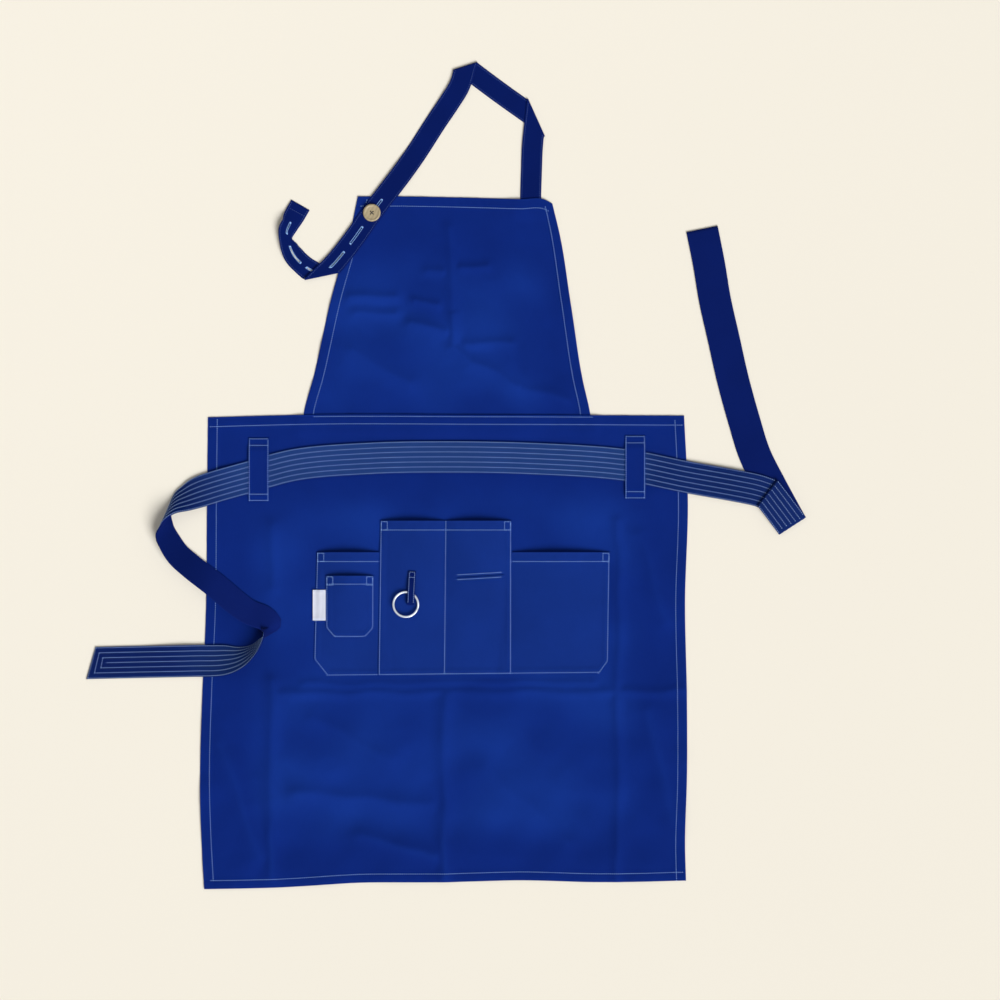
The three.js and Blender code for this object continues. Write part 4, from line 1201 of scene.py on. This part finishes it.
def cloth_finishes(context):
    """The shared finishes of the cloth and thread."""
    sizes, colours = context.scene.apron_sizes, context.scene.apron_colours
    return {
        "canvas": finish("Blue canvas", woven, colours.canvas, sizes.weave, colours.canvas_worn_and_lit),
        "pocket": finish("Pocket canvas", woven, colours.pocket, sizes.weave),
        "strap": finish("Strap canvas", woven, colours.strap, sizes.weave),
        "belt": finish("Belt canvas", woven, colours.belt, sizes.weave, colours.belt_worn_and_lit),
        "label": finish("Label tape", woven, colours.label, sizes.weave / 2),
        "thread": finish("Sewing thread", spun_thread, colours.thread),
        "belt_thread": finish("Belt thread", spun_thread, colours.belt_thread),
        "strap_thread": finish("Strap thread", spun_thread, colours.strap_thread),
    }


TACK_WIDTH = 0.0096
TACK_DEPTH = 0.0150
TACK_PITCH = 0.0026


def tack(pocket, corner):
    """Rows of a small sewn box at a top corner of a pocket."""
    inwards = 1 if corner == "left" else -1
    outer = pocket[corner] + inwards * EDGE_ROW
    mouth = pocket["mouth"]
    return outlined(outer, mouth - EDGE_ROW, outer + inwards * TACK_WIDTH, mouth - TACK_DEPTH)


def pocket_rows(panel, pocket):
    """Rows of stitches along a pocket's sewn edges and its mouth hem."""
    low, high = pocket["base"] + 0.002, pocket["mouth"] - 0.001
    rows = [panel.line(side, EDGE_ROW, low, high) for side in pocket["sewn"]]
    rows.append(panel.line("bottom", EDGE_ROW, *pocket["base_row"]))
    rows.append(panel.line("top", pocket["mouth_row"], pocket["left"] + 0.002, pocket["right"] - 0.002))
    return rows


class APRON_OT_skirt(bpy.types.Operator):
    """Sew the skirt panel with its hems and waist rows"""

    bl_idname = "apron.skirt"
    bl_label = "Skirt"

    def execute(self, context):
        sizes, cloth = context.scene.apron_sizes, cloth_finishes(context)
        panel = cut_panels(sizes)["skirt"]
        half = SKIRT_WIDTH / 2
        piece = panel.make("skirt_cloth", (-half, half, -SKIRT_LENGTH, 0.0), 0.0044, [cloth["canvas"]])
        rows = panel.sewn([
            panel.line("left", SIDE_ROW, 0.004 - SKIRT_LENGTH, -0.004),
            panel.line("right", SIDE_ROW, 0.004 - SKIRT_LENGTH, -0.004),
            panel.line("bottom", BOTTOM_ROW, 0.004 - half, half - 0.004),
            panel.line("top", WAIST_ROWS[1], 0.003 - half, half - 0.003),
            panel.line("top", WAIST_ROWS[0], -0.212, 0.232),
        ])
        stitching = stitch_object("skirt_stitching", rows, sizes.thread, cloth["thread"])
        laid(piece, "canvas", "skirt", (0.814, 0.803), ["bib_cloth", "floor"], stitching)
        return {"FINISHED"}


class APRON_OT_bib(bpy.types.Operator):
    """Sew the bib panel with its hems"""

    bl_idname = "apron.bib"
    bl_label = "Bib"

    def execute(self, context):
        sizes, cloth = context.scene.apron_sizes, cloth_finishes(context)
        panel = cut_panels(sizes)["bib"]
        piece = panel.make("bib_cloth", (-0.231, 0.231, -BIB_TUCK, BIB_HEIGHT), 0.0032, [cloth["canvas"]])
        rows = panel.sewn([
            panel.line("left", BIB_ROW, 0.004, 0.346),
            panel.line("right", BIB_ROW, 0.004, 0.336),
            panel.line("top", BIB_ROW, -0.138, 0.163),
        ])
        stitching = stitch_object("bib_stitching", rows, sizes.thread, cloth["thread"])
        laid(piece, "canvas", "bib", (0.512, 0.395), ["neck_strap_cloth", "floor"], stitching, area=0.172)
        return {"FINISHED"}


class APRON_OT_pockets(bpy.types.Operator):
    """Sew the two side pockets, the centre pocket with its pen slit and seam, and the small patch pocket"""

    bl_idname = "apron.pockets"
    bl_label = "Pockets"

    def execute(self, context):
        self.sew(context, "side_pocket_left", TUCKED_LEFT, SIDE_LEFT, ["skirt"])
        self.sew(context, "side_pocket_right", TUCKED_RIGHT, SIDE_RIGHT, ["skirt"])
        under = ["skirt", "side_pocket_left", "side_pocket_right"]
        self.sew(context, "centre_pocket", CENTRE_POCKET, CENTRE_POCKET, under, slit=PEN_SLIT)
        self.sew(context, "patch_pocket", PATCH, PATCH, ["side_pocket_left"], step=0.0024)
        return {"FINISHED"}

    def sew(self, context, node, cut, seen, under, step=0.0032, slit=None):
        """One pocket as cut, with the stitching that is seen, closer at its tacks."""
        sizes, cloth = context.scene.apron_sizes, cloth_finishes(context)
        panel = cut_panels(sizes)[node]
        rows = pocket_rows(panel, seen)
        marks = ((), (cut["base"] + cut["cut"][1],))
        if slit:
            marks = ((CENTRE_SEAM, slit["left"], slit["right"]), (slit["bottom"], slit["top"]))
            rows += self.slit_rows(slit)
        box = (cut["left"], cut["right"], cut["base"], cut["mouth"])
        piece = panel.make(node + "_cloth", box, step, [cloth["pocket"]], marks, slit, PEN_SLIT_SLOPE)
        tacks = [row for side in seen["sewn"] for row in tack(seen, side)]
        runs = panel.sewn(rows) + panel.sewn(tacks, TACK_PITCH)
        stitching = stitch_object(node + "_stitching", runs, sizes.thread, cloth["thread"])
        flat = (cut["right"] - cut["left"] + 0.012, cut["mouth"] - cut["base"] + 0.016)
        laid(piece, "canvas", node, flat, [below + "_cloth" for below in under], stitching)

    def slit_rows(self, slit):
        """Rows of the seam down the centre pocket and of the two sides of its pen slit."""
        low, high = CENTRE_POCKET["base"] + 0.002, CENTRE_POCKET["mouth"] - 0.001
        rows = [straight(-0.0040, low, -0.0016, high)]
        middle = (slit["bottom"] + slit["top"]) / 2
        fall = PEN_SLIT_SLOPE * (slit["right"] - slit["left"]) / 2
        for aside in (middle + 0.0038, middle - 0.0038):
            rows.append(straight(slit["left"], aside - fall, slit["right"], aside + fall))
        return rows


class APRON_OT_label(bpy.types.Operator):
    """Sew the blank woven label on the left side pocket"""

    bl_idname = "apron.label"
    bl_label = "Label"

    def execute(self, context):
        sizes, cloth = context.scene.apron_sizes, cloth_finishes(context)
        panel = cut_panels(sizes)["label_tag"]
        left, right, base, mouth = (LABEL[side] for side in ("left", "right", "base", "mouth"))
        piece = panel.make("label_tag_cloth", (left, right, base, mouth), 0.002, [cloth["label"]])
        rows = [panel.line(end, LABEL_ROW, left + 0.002, right - 0.002) for end in ("top", "bottom")]
        runs = panel.sewn(rows, 0.0024)
        stitching = stitch_object("label_tag_stitching", runs, sizes.thread / 2, cloth["thread"])
        flat = (right - left, mouth - base)
        laid(piece, "label_cloth", "label_tag", flat, ["side_pocket_left_cloth"], stitching)
        return {"FINISHED"}


class APRON_OT_belt(bpy.types.Operator):
    """Lay the long waist belt, with rows of stitches drawn into its front"""

    bl_idname = "apron.belt"
    bl_label = "Belt"

    def execute(self, context):
        sizes, cloth = context.scene.apron_sizes, cloth_finishes(context)
        stretches = [BELT_FRONT, BELT_PLEAT, BELT_FOLDED, BELT_TAIL]
        belt = lay_strap(stretches, sizes.belt_width, sizes.belt_thickness, 0.005, BELT_END_SLANT)
        rows = np.linspace(0.94, -0.94, 7)
        across = np.concatenate([[1.0, 0.98], np.linspace(0.94, -0.94, 43), [-0.98, -1.0]])
        from_row = np.abs(across[:, None] - rows[None, :]).min(axis=1) * sizes.belt_width / 2
        drawn_in = -0.0004 * np.exp(-((from_row / 0.0012) ** 2))
        x, y = belt["centre"][:, 0], belt["centre"][:, 1]
        # Paler front along the waist and on the lower band at the left; painted light on the back band
        # between the left turns, which lies tilted away from the light
        waist = ease(x, -0.44, -0.30) * (1 - 0.8 * ease(x, 0.28, 0.35)) * ease(y, -0.22, -0.16)
        turned = 0.5 * ease(x, -0.46, -0.33) * (1 - ease(y, -0.38, -0.34))
        band_painted_light = ease(x, -0.44, -0.32) * ease(y, -0.345, -0.330) * (1 - ease(y, -0.27, -0.23))
        worn_and_lit = (waist + turned + band_painted_light)[:, None]
        piece = strap_object("belt_cloth", belt, across, [cloth["belt"], cloth["strap"]], drawn_in, worn_and_lit)
        gauge = (sizes.stitch_pitch, sizes.stitch_length)
        end = stretch_ends(belt, 0)[1]
        folded = stretch_ends(belt, 2)
        runs = []
        for row in rows:
            offset = row * sizes.belt_width / 2
            inset = (1 - abs(row)) * sizes.belt_width / 2
            runs.append(strap_row(belt, offset, inset, end, gauge))
            runs.append(strap_row(belt, offset, *folded, gauge))
            if row > 0:
                runs.append(cross_row(belt, inset, offset, -offset, gauge))
        stitching = stitch_object("belt_stitching", runs, sizes.thread, cloth["belt_thread"])
        flat = (sizes.belt_width, float(belt["along"][-1]))
        laid(piece, "belt_canvas", "belt", flat, ["skirt_cloth", "floor"], stitching)
        return {"FINISHED"}


class APRON_OT_belt_loops(bpy.types.Operator):
    """Sew the two loops over the belt"""

    bl_idname = "apron.belt_loops"
    bl_label = "Belt loops"

    def execute(self, context):
        sizes, cloth = context.scene.apron_sizes, cloth_finishes(context)
        low = sizes.canvas + GAP + 0.0002
        arch = ON_CLOTH + sizes.belt_thickness + GAP
        for side, x, top, bottom in zip(("left", "right"), *BELT_LOOPS.values()):
            rows = table(
                "x y rest",
                (x, bottom, low),
                (x, bottom + 0.002, low),
                (x, bottom + 0.009, arch),
                (x, (top + bottom) / 2, arch + 0.0006),
                (x, top - 0.020, arch),
                (x, top - 0.009, low),
                (x, top, low),
            )
            loop = lay_strap([rows], sizes.loop_width, sizes.loop_thickness, 0.0022)
            inner = np.linspace(0.85, -0.85, 11)
            across = np.concatenate([[1.0, 0.95], inner, [-0.95, -1.0]])
            node = "belt_loop_" + side
            piece = strap_object(node + "_cloth", loop, across, [cloth["canvas"]])
            length = loop["along"][-1]
            gauge = (sizes.stitch_pitch, sizes.stitch_length)
            edge = 0.9 * sizes.loop_width / 2
            runs = [strap_row(loop, offset, 0.001, length - 0.001, gauge) for offset in (edge, -edge)]
            for place in (0.0015, 0.0120, length - 0.0120, length - 0.0015):
                runs.append(cross_row(loop, place, edge, -edge, gauge))
            stitching = stitch_object(node + "_stitching", runs, sizes.thread, cloth["thread"])
            flat = (sizes.loop_width, float(length))
            laid(piece, "canvas", node, flat, ["belt_cloth", "skirt_cloth"], stitching)
        return {"FINISHED"}


# Buttonholes along the middle of the neck strap, and the number of the stretch each is in
BUTTONHOLES = table(
    "x y length stretch",
    (-0.1144, 0.3309, 0.031, 2),
    (-0.1443, 0.2877, 0.031, 2),
    (-0.1745, 0.2487, 0.031, 2),
    (-0.2145, 0.2312, 0.020, 3),
    (-0.2437, 0.2557, 0.030, 3),
    (-0.2528, 0.3000, 0.017, 3),
)
SLIT_HALF = 0.0009
NECK_GAUGE = (0.0034, 0.6 * 0.0034)


def place_on(strap, n, x, y):
    """Distance along a strap to the place in one stretch that is nearest to a point."""
    own = strap["stretch"] == n
    away = np.hypot(strap["centre"][own, 0] - x, strap["centre"][own, 1] - y)
    return strap["along"][own][np.argmin(away)]


def buttonhole_rows(strap, place, length, side):
    """Close stitches along both sides of a buttonhole and bars over its ends."""
    runs = []
    along = np.arange(place - length / 2, place + length / 2, 0.0010)
    bars = place + np.array([-1, -1, -1, 1, 1, 1]) * (length / 2 + np.array([0.0002, 0.0008, 0.0014] * 2))
    for places, near, far in ((along, 0.0009, 0.0021), (along, -0.0009, -0.0021), (bars, 0.0023, -0.0023)):
        start, facing = on_strap(strap, places, near, side)
        end, _ = on_strap(strap, places, far, side)
        runs.append((start, end, facing))
    return runs


class APRON_OT_neck_strap(bpy.types.Operator):
    """Lay the neck strap over its folds, with its buttonholes"""

    bl_idname = "apron.neck_strap"
    bl_label = "Neck strap"

    def execute(self, context):
        sizes, cloth = context.scene.apron_sizes, cloth_finishes(context)
        stretches = [NECK_RISER, NECK_CROSSING, NECK_FALL, NECK_RETURN]
        width = sizes.neck_width
        strap = lay_strap(stretches, width, sizes.neck_thickness, 0.0025)
        slit = SLIT_HALF / (width / 2)
        side = np.concatenate([[1.0, 0.97], np.linspace(0.9, 0.14, 6), [slit]])
        across = np.concatenate([side, -side[::-1]])
        middle = (strap["along"][1:] + strap["along"][:-1]) / 2
        in_slit = np.abs(across[1:] + across[:-1]) / 2 < slit
        kept = np.ones((len(middle), len(in_slit)), bool)
        edge = 0.84 * width / 2
        runs = []
        for n in range(len(stretches)):
            start, end = stretch_ends(strap, n)
            for offset in (edge, -edge):
                runs.append(strap_row(strap, offset, start, end, NECK_GAUGE, (-1) ** n))
        runs.append(cross_row(strap, strap["along"][-1] - 0.013, edge, -edge, NECK_GAUGE, -1))
        holes = []
        for x, y, length, n in zip(*BUTTONHOLES.values()):
            place = place_on(strap, n, x, y)
            kept &= ~((np.abs(middle - place) < length / 2)[:, None] & in_slit[None, :])
            holes += buttonhole_rows(strap, place, length, (-1) ** int(n))
        piece = strap_object("neck_strap_cloth", strap, across, [cloth["strap"]], kept=kept)
        edging = stitch_object("neck_strap_stitching", runs, sizes.thread * 0.5, cloth["strap_thread"])
        buttonholes = stitch_object("buttonhole_stitching", holes, sizes.thread * 0.8, cloth["thread"])
        flat = (width, float(strap["along"][-1]))
        laid(piece, "strap_canvas", "neck_strap", flat, ["bib_cloth", "floor"], edging, buttonholes)
        return {"FINISHED"}


def wire_object(name, centre, outward, half_wide, half_tall, material):
    """A bent wire of oval section along a line of points, each with its outward direction."""
    sides = 12
    angle = (math.tau * np.arange(sides) / sides)[None, :, None]
    section = outward[:, None] * half_wide * np.cos(angle) + UP * half_tall * np.sin(angle)
    points = centre[:, None] + section
    faces = tube_faces(len(centre), sides, flip=True)
    return new_object(name, points.reshape(-1, 3), faces, [material])


class APRON_OT_key_ring(bpy.types.Operator):
    """Sew the tape loop on the centre pocket and hang the split ring in it"""

    bl_idname = "apron.key_ring"
    bl_label = "Key loop and ring"

    def execute(self, context):
        sizes, cloth = context.scene.apron_sizes, cloth_finishes(context)
        low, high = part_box("key_ring")
        height = (low.z + high.z) / 2
        self.coil_ring(context, height)
        pocket = cut_panels(sizes)["centre_pocket"]
        sewn, end = np.array([-0.0553, -0.2475]), np.array([-0.0577, -0.2980])
        half = (sewn + end) / 2
        over_ring = height + sizes.ring_wire / 2 + GAP
        lie = [float(pocket.skin(*place[:, None])[0]) + GAP for place in (sewn, half, end)]
        top = lie[0] + sizes.key_loop_thickness + GAP
        down = table("x y rest", (*sewn, lie[0]), (*half, lie[1]), (*end, lie[2]))
        back = table("x y rest", (*end, over_ring), (*half, over_ring), (*sewn, top))
        tape = lay_strap([down, back], sizes.key_loop_width, sizes.key_loop_thickness, 0.002)
        across = np.array([1.0, 0.9, 0.7, 0.35, 0.0, -0.35, -0.7, -0.9, -1.0])
        piece = strap_object("key_loop_cloth", tape, across, [cloth["strap"]])
        start, stop = stretch_ends(tape, 1)
        edge = 0.7 * sizes.key_loop_width / 2
        gauge = (0.0030, 0.0021)
        ends = (start + 0.001, stop - 0.001)
        runs = [strap_row(tape, offset, *ends, gauge, -1) for offset in (edge, -edge)]
        for place in (stop - 0.0012, stop - 0.0095):
            runs.append(cross_row(tape, place, edge, -edge, gauge, -1))
        stitching = stitch_object("key_loop_stitching", runs, sizes.thread * 0.8, cloth["belt_thread"])
        flat = (sizes.key_loop_width, float(tape["along"][-1]))
        laid(piece, "strap_canvas", "key_loop", flat, ["centre_pocket_cloth", "key_ring_wire"], stitching)
        return {"FINISHED"}

    def coil_ring(self, context, height):
        """A split ring of two flat turns of wire, one on the other."""
        sizes, colours = context.scene.apron_sizes, context.scene.apron_colours
        clear = 0.4
        turn = np.linspace(clear, 2 * math.tau - clear, 260)
        radius = (sizes.ring - sizes.ring_wire) / 2
        outward = np.stack([np.cos(turn), np.sin(turn), 0 * turn], axis=1)
        step = sizes.ring_wire / 4
        level = height + step * (2 * ease(turn, math.tau - clear, math.tau + clear) - 1)
        centre = outward * radius + np.stack([RING_AT[0] + 0 * turn, RING_AT[1] + 0 * turn, level], axis=1)
        steel = finish("Ring steel", plated_steel, colours.steel)
        ring = wire_object("key_ring_wire", centre, outward, sizes.ring_wire / 2, step * 0.96, steel)
        carried(ring, "ring_steel", "key_ring")


def lathe_object(name, profile, at, low, material, segments=72):
    """A round object turned from a profile of radius and height, with flat discs at its ends."""
    angle = math.tau * np.arange(segments) / segments
    radius, height = np.array(profile).T[:, :, None]
    x = at[0] + radius * np.cos(angle)
    y = at[1] + radius * np.sin(angle)
    points = np.stack([x, y, low + height + 0 * x], axis=-1).reshape(-1, 3)
    faces = tube_faces(len(profile), segments)
    return new_object(name, points, faces, [material])


def bored(piece, drills):
    """Cut drills out of a piece, and keep its cut edges crisp."""
    for drill in drills:
        cut = piece.modifiers.new("Bore", "BOOLEAN")
        cut.object = drill
        cut.solver = "EXACT"
    shaped = piece.evaluated_get(bpy.context.evaluated_depsgraph_get())
    plain = piece.data
    piece.data = bpy.data.meshes.new_from_object(shaped)
    piece.modifiers.clear()
    bpy.data.meshes.remove(plain)
    for drill in drills:
        bpy.data.meshes.remove(drill.data)
    piece.data.set_sharp_from_angle(angle=math.radians(40))


# Half of the button's section: radius as a share of the button's, and height in metres
BUTTON_PROFILE = (
    (0.83, 0.0000),
    (0.92, 0.0003),
    (0.97, 0.0008),
    (1.00, 0.0016),
    (1.00, 0.0024),
    (0.98, 0.0031),
    (0.94, 0.0037),
    (0.88, 0.0040),
    (0.82, 0.0039),
    (0.77, 0.0036),
    (0.73, 0.0033),
    (0.69, 0.0031),
    (0.61, 0.0030),
)
BUTTON_HOLE_AT = 0.0021
BUTTON_HOLE = 0.0010


class APRON_OT_button(bpy.types.Operator):
    """Turn the four-hole button and sew it through the neck strap with a thread shank"""

    bl_idname = "apron.button"
    bl_label = "Button"

    def execute(self, context):
        sizes, colours = context.scene.apron_sizes, context.scene.apron_colours
        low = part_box("neck_button")[0].z
        wood = finish("Button wood", turned_wood, colours.wood)
        profile = [(share * sizes.button / 2, height) for share, height in BUTTON_PROFILE]
        button = lathe_object("neck_button_wood", profile, BUTTON_AT, low, wood)
        corners = np.array([(1, 1), (-1, 1), (-1, -1), (1, -1)])
        holes = np.array(BUTTON_AT) + BUTTON_HOLE_AT * corners
        drill = [(BUTTON_HOLE, -0.001), (BUTTON_HOLE, 0.006)]
        bored(button, [lathe_object("drill", drill, hole, low, wood, 24) for hole in holes])
        carried(button, "button_wood", "neck_button")
        dark = finish("Button thread", spun_thread, colours.button_thread)
        runs = []
        for n, level in ((0, low + 0.0033), (1, low + 0.0038), (0, low - 0.0004), (1, low - 0.0007)):
            run = holes[n] - holes[n + 2]
            aside = np.array([-run[1], run[0]]) / np.linalg.norm(run)
            for offset in (-0.0003, 0.0003):
                start, end = holes[n + 2] + aside * offset, holes[n] + aside * offset
                runs.append((np.array([[*start, level]]), np.array([[*end, level]]), UP[None]))
        for hole in holes:
            runs.append(self.upright(*hole, low - 0.0006, low + 0.0034))
        bib = cut_panels(sizes)["bib"]
        along_slit = np.array([math.cos(math.radians(54.5)), math.sin(math.radians(54.5))])
        for offset in (-0.0012, -0.0004, 0.0004, 0.0012):
            x, y = np.array(BUTTON_AT) + along_slit * offset
            base = float(bib.skin(np.array([x]), np.array([y]))[0])
            runs.append(self.upright(x, y, base, low - 0.0004))
        thread = stitch_object("button_thread_strands", runs, 0.0007, dark)
        carried(thread, "thread", "button_thread")
        return {"FINISHED"}

    def upright(self, x, y, low, high):
        """One strand straight up."""
        return np.array([[x, y, low]]), np.array([[x, y, high]]), np.array([[1.0, 0.0, 0.0]])


FLOOR_REACH = 20.0
FLOOR_LEVEL = -0.0002
SKY = (1.0, 0.985, 0.96, 1)
KEY_FROM = (1.7, -2.5, 3.0)
KEY_SPREAD = math.radians(38)
FILL_FROM = (-1.6, 1.9, 3.2)
FILL_SIZE = 2.6
LOOKS_AT = (0.0858, -0.0391)
SENSOR = 36.0


class APRON_OT_stage(bpy.types.Operator):
    """Set the floor, soft light and a camera that looks straight down"""

    bl_idname = "apron.stage"
    bl_label = "Stage"

    def execute(self, context):
        scene = context.scene
        settings = scene.apron_stage
        corners = FLOOR_REACH * np.array([(-1, -1), (1, -1), (1, 1), (-1, 1)])
        points = np.column_stack([corners, np.full(4, FLOOR_LEVEL)])
        material = finish("Floor", plain_floor, scene.apron_colours.floor)
        floor = new_object("floor", points - ORIGIN, [[0, 1, 2, 3]], [material])
        world = bpy.data.worlds.new("Studio")
        world.use_nodes = True
        sky = world.node_tree.nodes["Background"].inputs
        sky["Color"].default_value = SKY
        sky["Strength"].default_value = settings.ambient
        scene.world = world
        key = self.add_light(context, "Key light", "SUN", KEY_FROM, settings.key)
        key.angle = KEY_SPREAD
        fill = self.add_light(context, "Fill light", "AREA", FILL_FROM, settings.fill)
        fill.size = FILL_SIZE
        lens = bpy.data.cameras.new("Camera")
        lens.sensor_width = SENSOR
        lens.lens = SENSOR * settings.camera_height / settings.view
        camera = bpy.data.objects.new("Camera", lens)
        camera.location = (*LOOKS_AT, settings.camera_height)
        scene.collection.objects.link(camera)
        scene.camera = camera
        scene.view_settings.view_transform = "Standard"
        return {"FINISHED"}

    def add_light(self, context, name, kind, place, power):
        """A soft light that faces the apron."""
        light = bpy.data.lights.new(name, kind)
        light.energy = power
        lamp = bpy.data.objects.new(name, light)
        lamp.location = place
        lamp.rotation_euler = (-Vector(place)).to_track_quat("-Z", "Y").to_euler()
        context.scene.collection.objects.link(lamp)
        return light


OPERATORS = (
    APRON_OT_stage,
    APRON_OT_bib,
    APRON_OT_skirt,
    APRON_OT_pockets,
    APRON_OT_label,
    APRON_OT_belt,
    APRON_OT_belt_loops,
    APRON_OT_neck_strap,
    APRON_OT_key_ring,
    APRON_OT_button,
)


class APRON_PT_pieces(bpy.types.Panel):
    """Settings and pieces of the apron"""

    bl_label = "Artist Apron"
    bl_space_type = "VIEW_3D"
    bl_region_type = "UI"
    bl_category = "Apron"

    def draw(self, context):
        for settings in (context.scene.apron_sizes, context.scene.apron_colours, context.scene.apron_stage):
            box = self.layout.box()
            for name in settings.__annotations__:
                box.prop(settings, name)
        for operator in OPERATORS:
            self.layout.operator(operator.bl_idname)


CLASSES = (ApronSizes, ApronColours, ApronStage, *OPERATORS, APRON_PT_pieces)


def register():
    for item in CLASSES:
        bpy.utils.register_class(item)
    bpy.types.Scene.apron_sizes = bpy.props.PointerProperty(type=ApronSizes)
    bpy.types.Scene.apron_colours = bpy.props.PointerProperty(type=ApronColours)
    bpy.types.Scene.apron_stage = bpy.props.PointerProperty(type=ApronStage)


def unregister():
    del bpy.types.Scene.apron_stage
    del bpy.types.Scene.apron_colours
    del bpy.types.Scene.apron_sizes
    for item in reversed(CLASSES):
        bpy.utils.unregister_class(item)


def main():
    """Make every piece in order."""
    register()
    for operator in OPERATORS:
        getattr(bpy.ops.apron, operator.bl_idname.split(".")[1])()


if __name__ == "__main__":
    main()
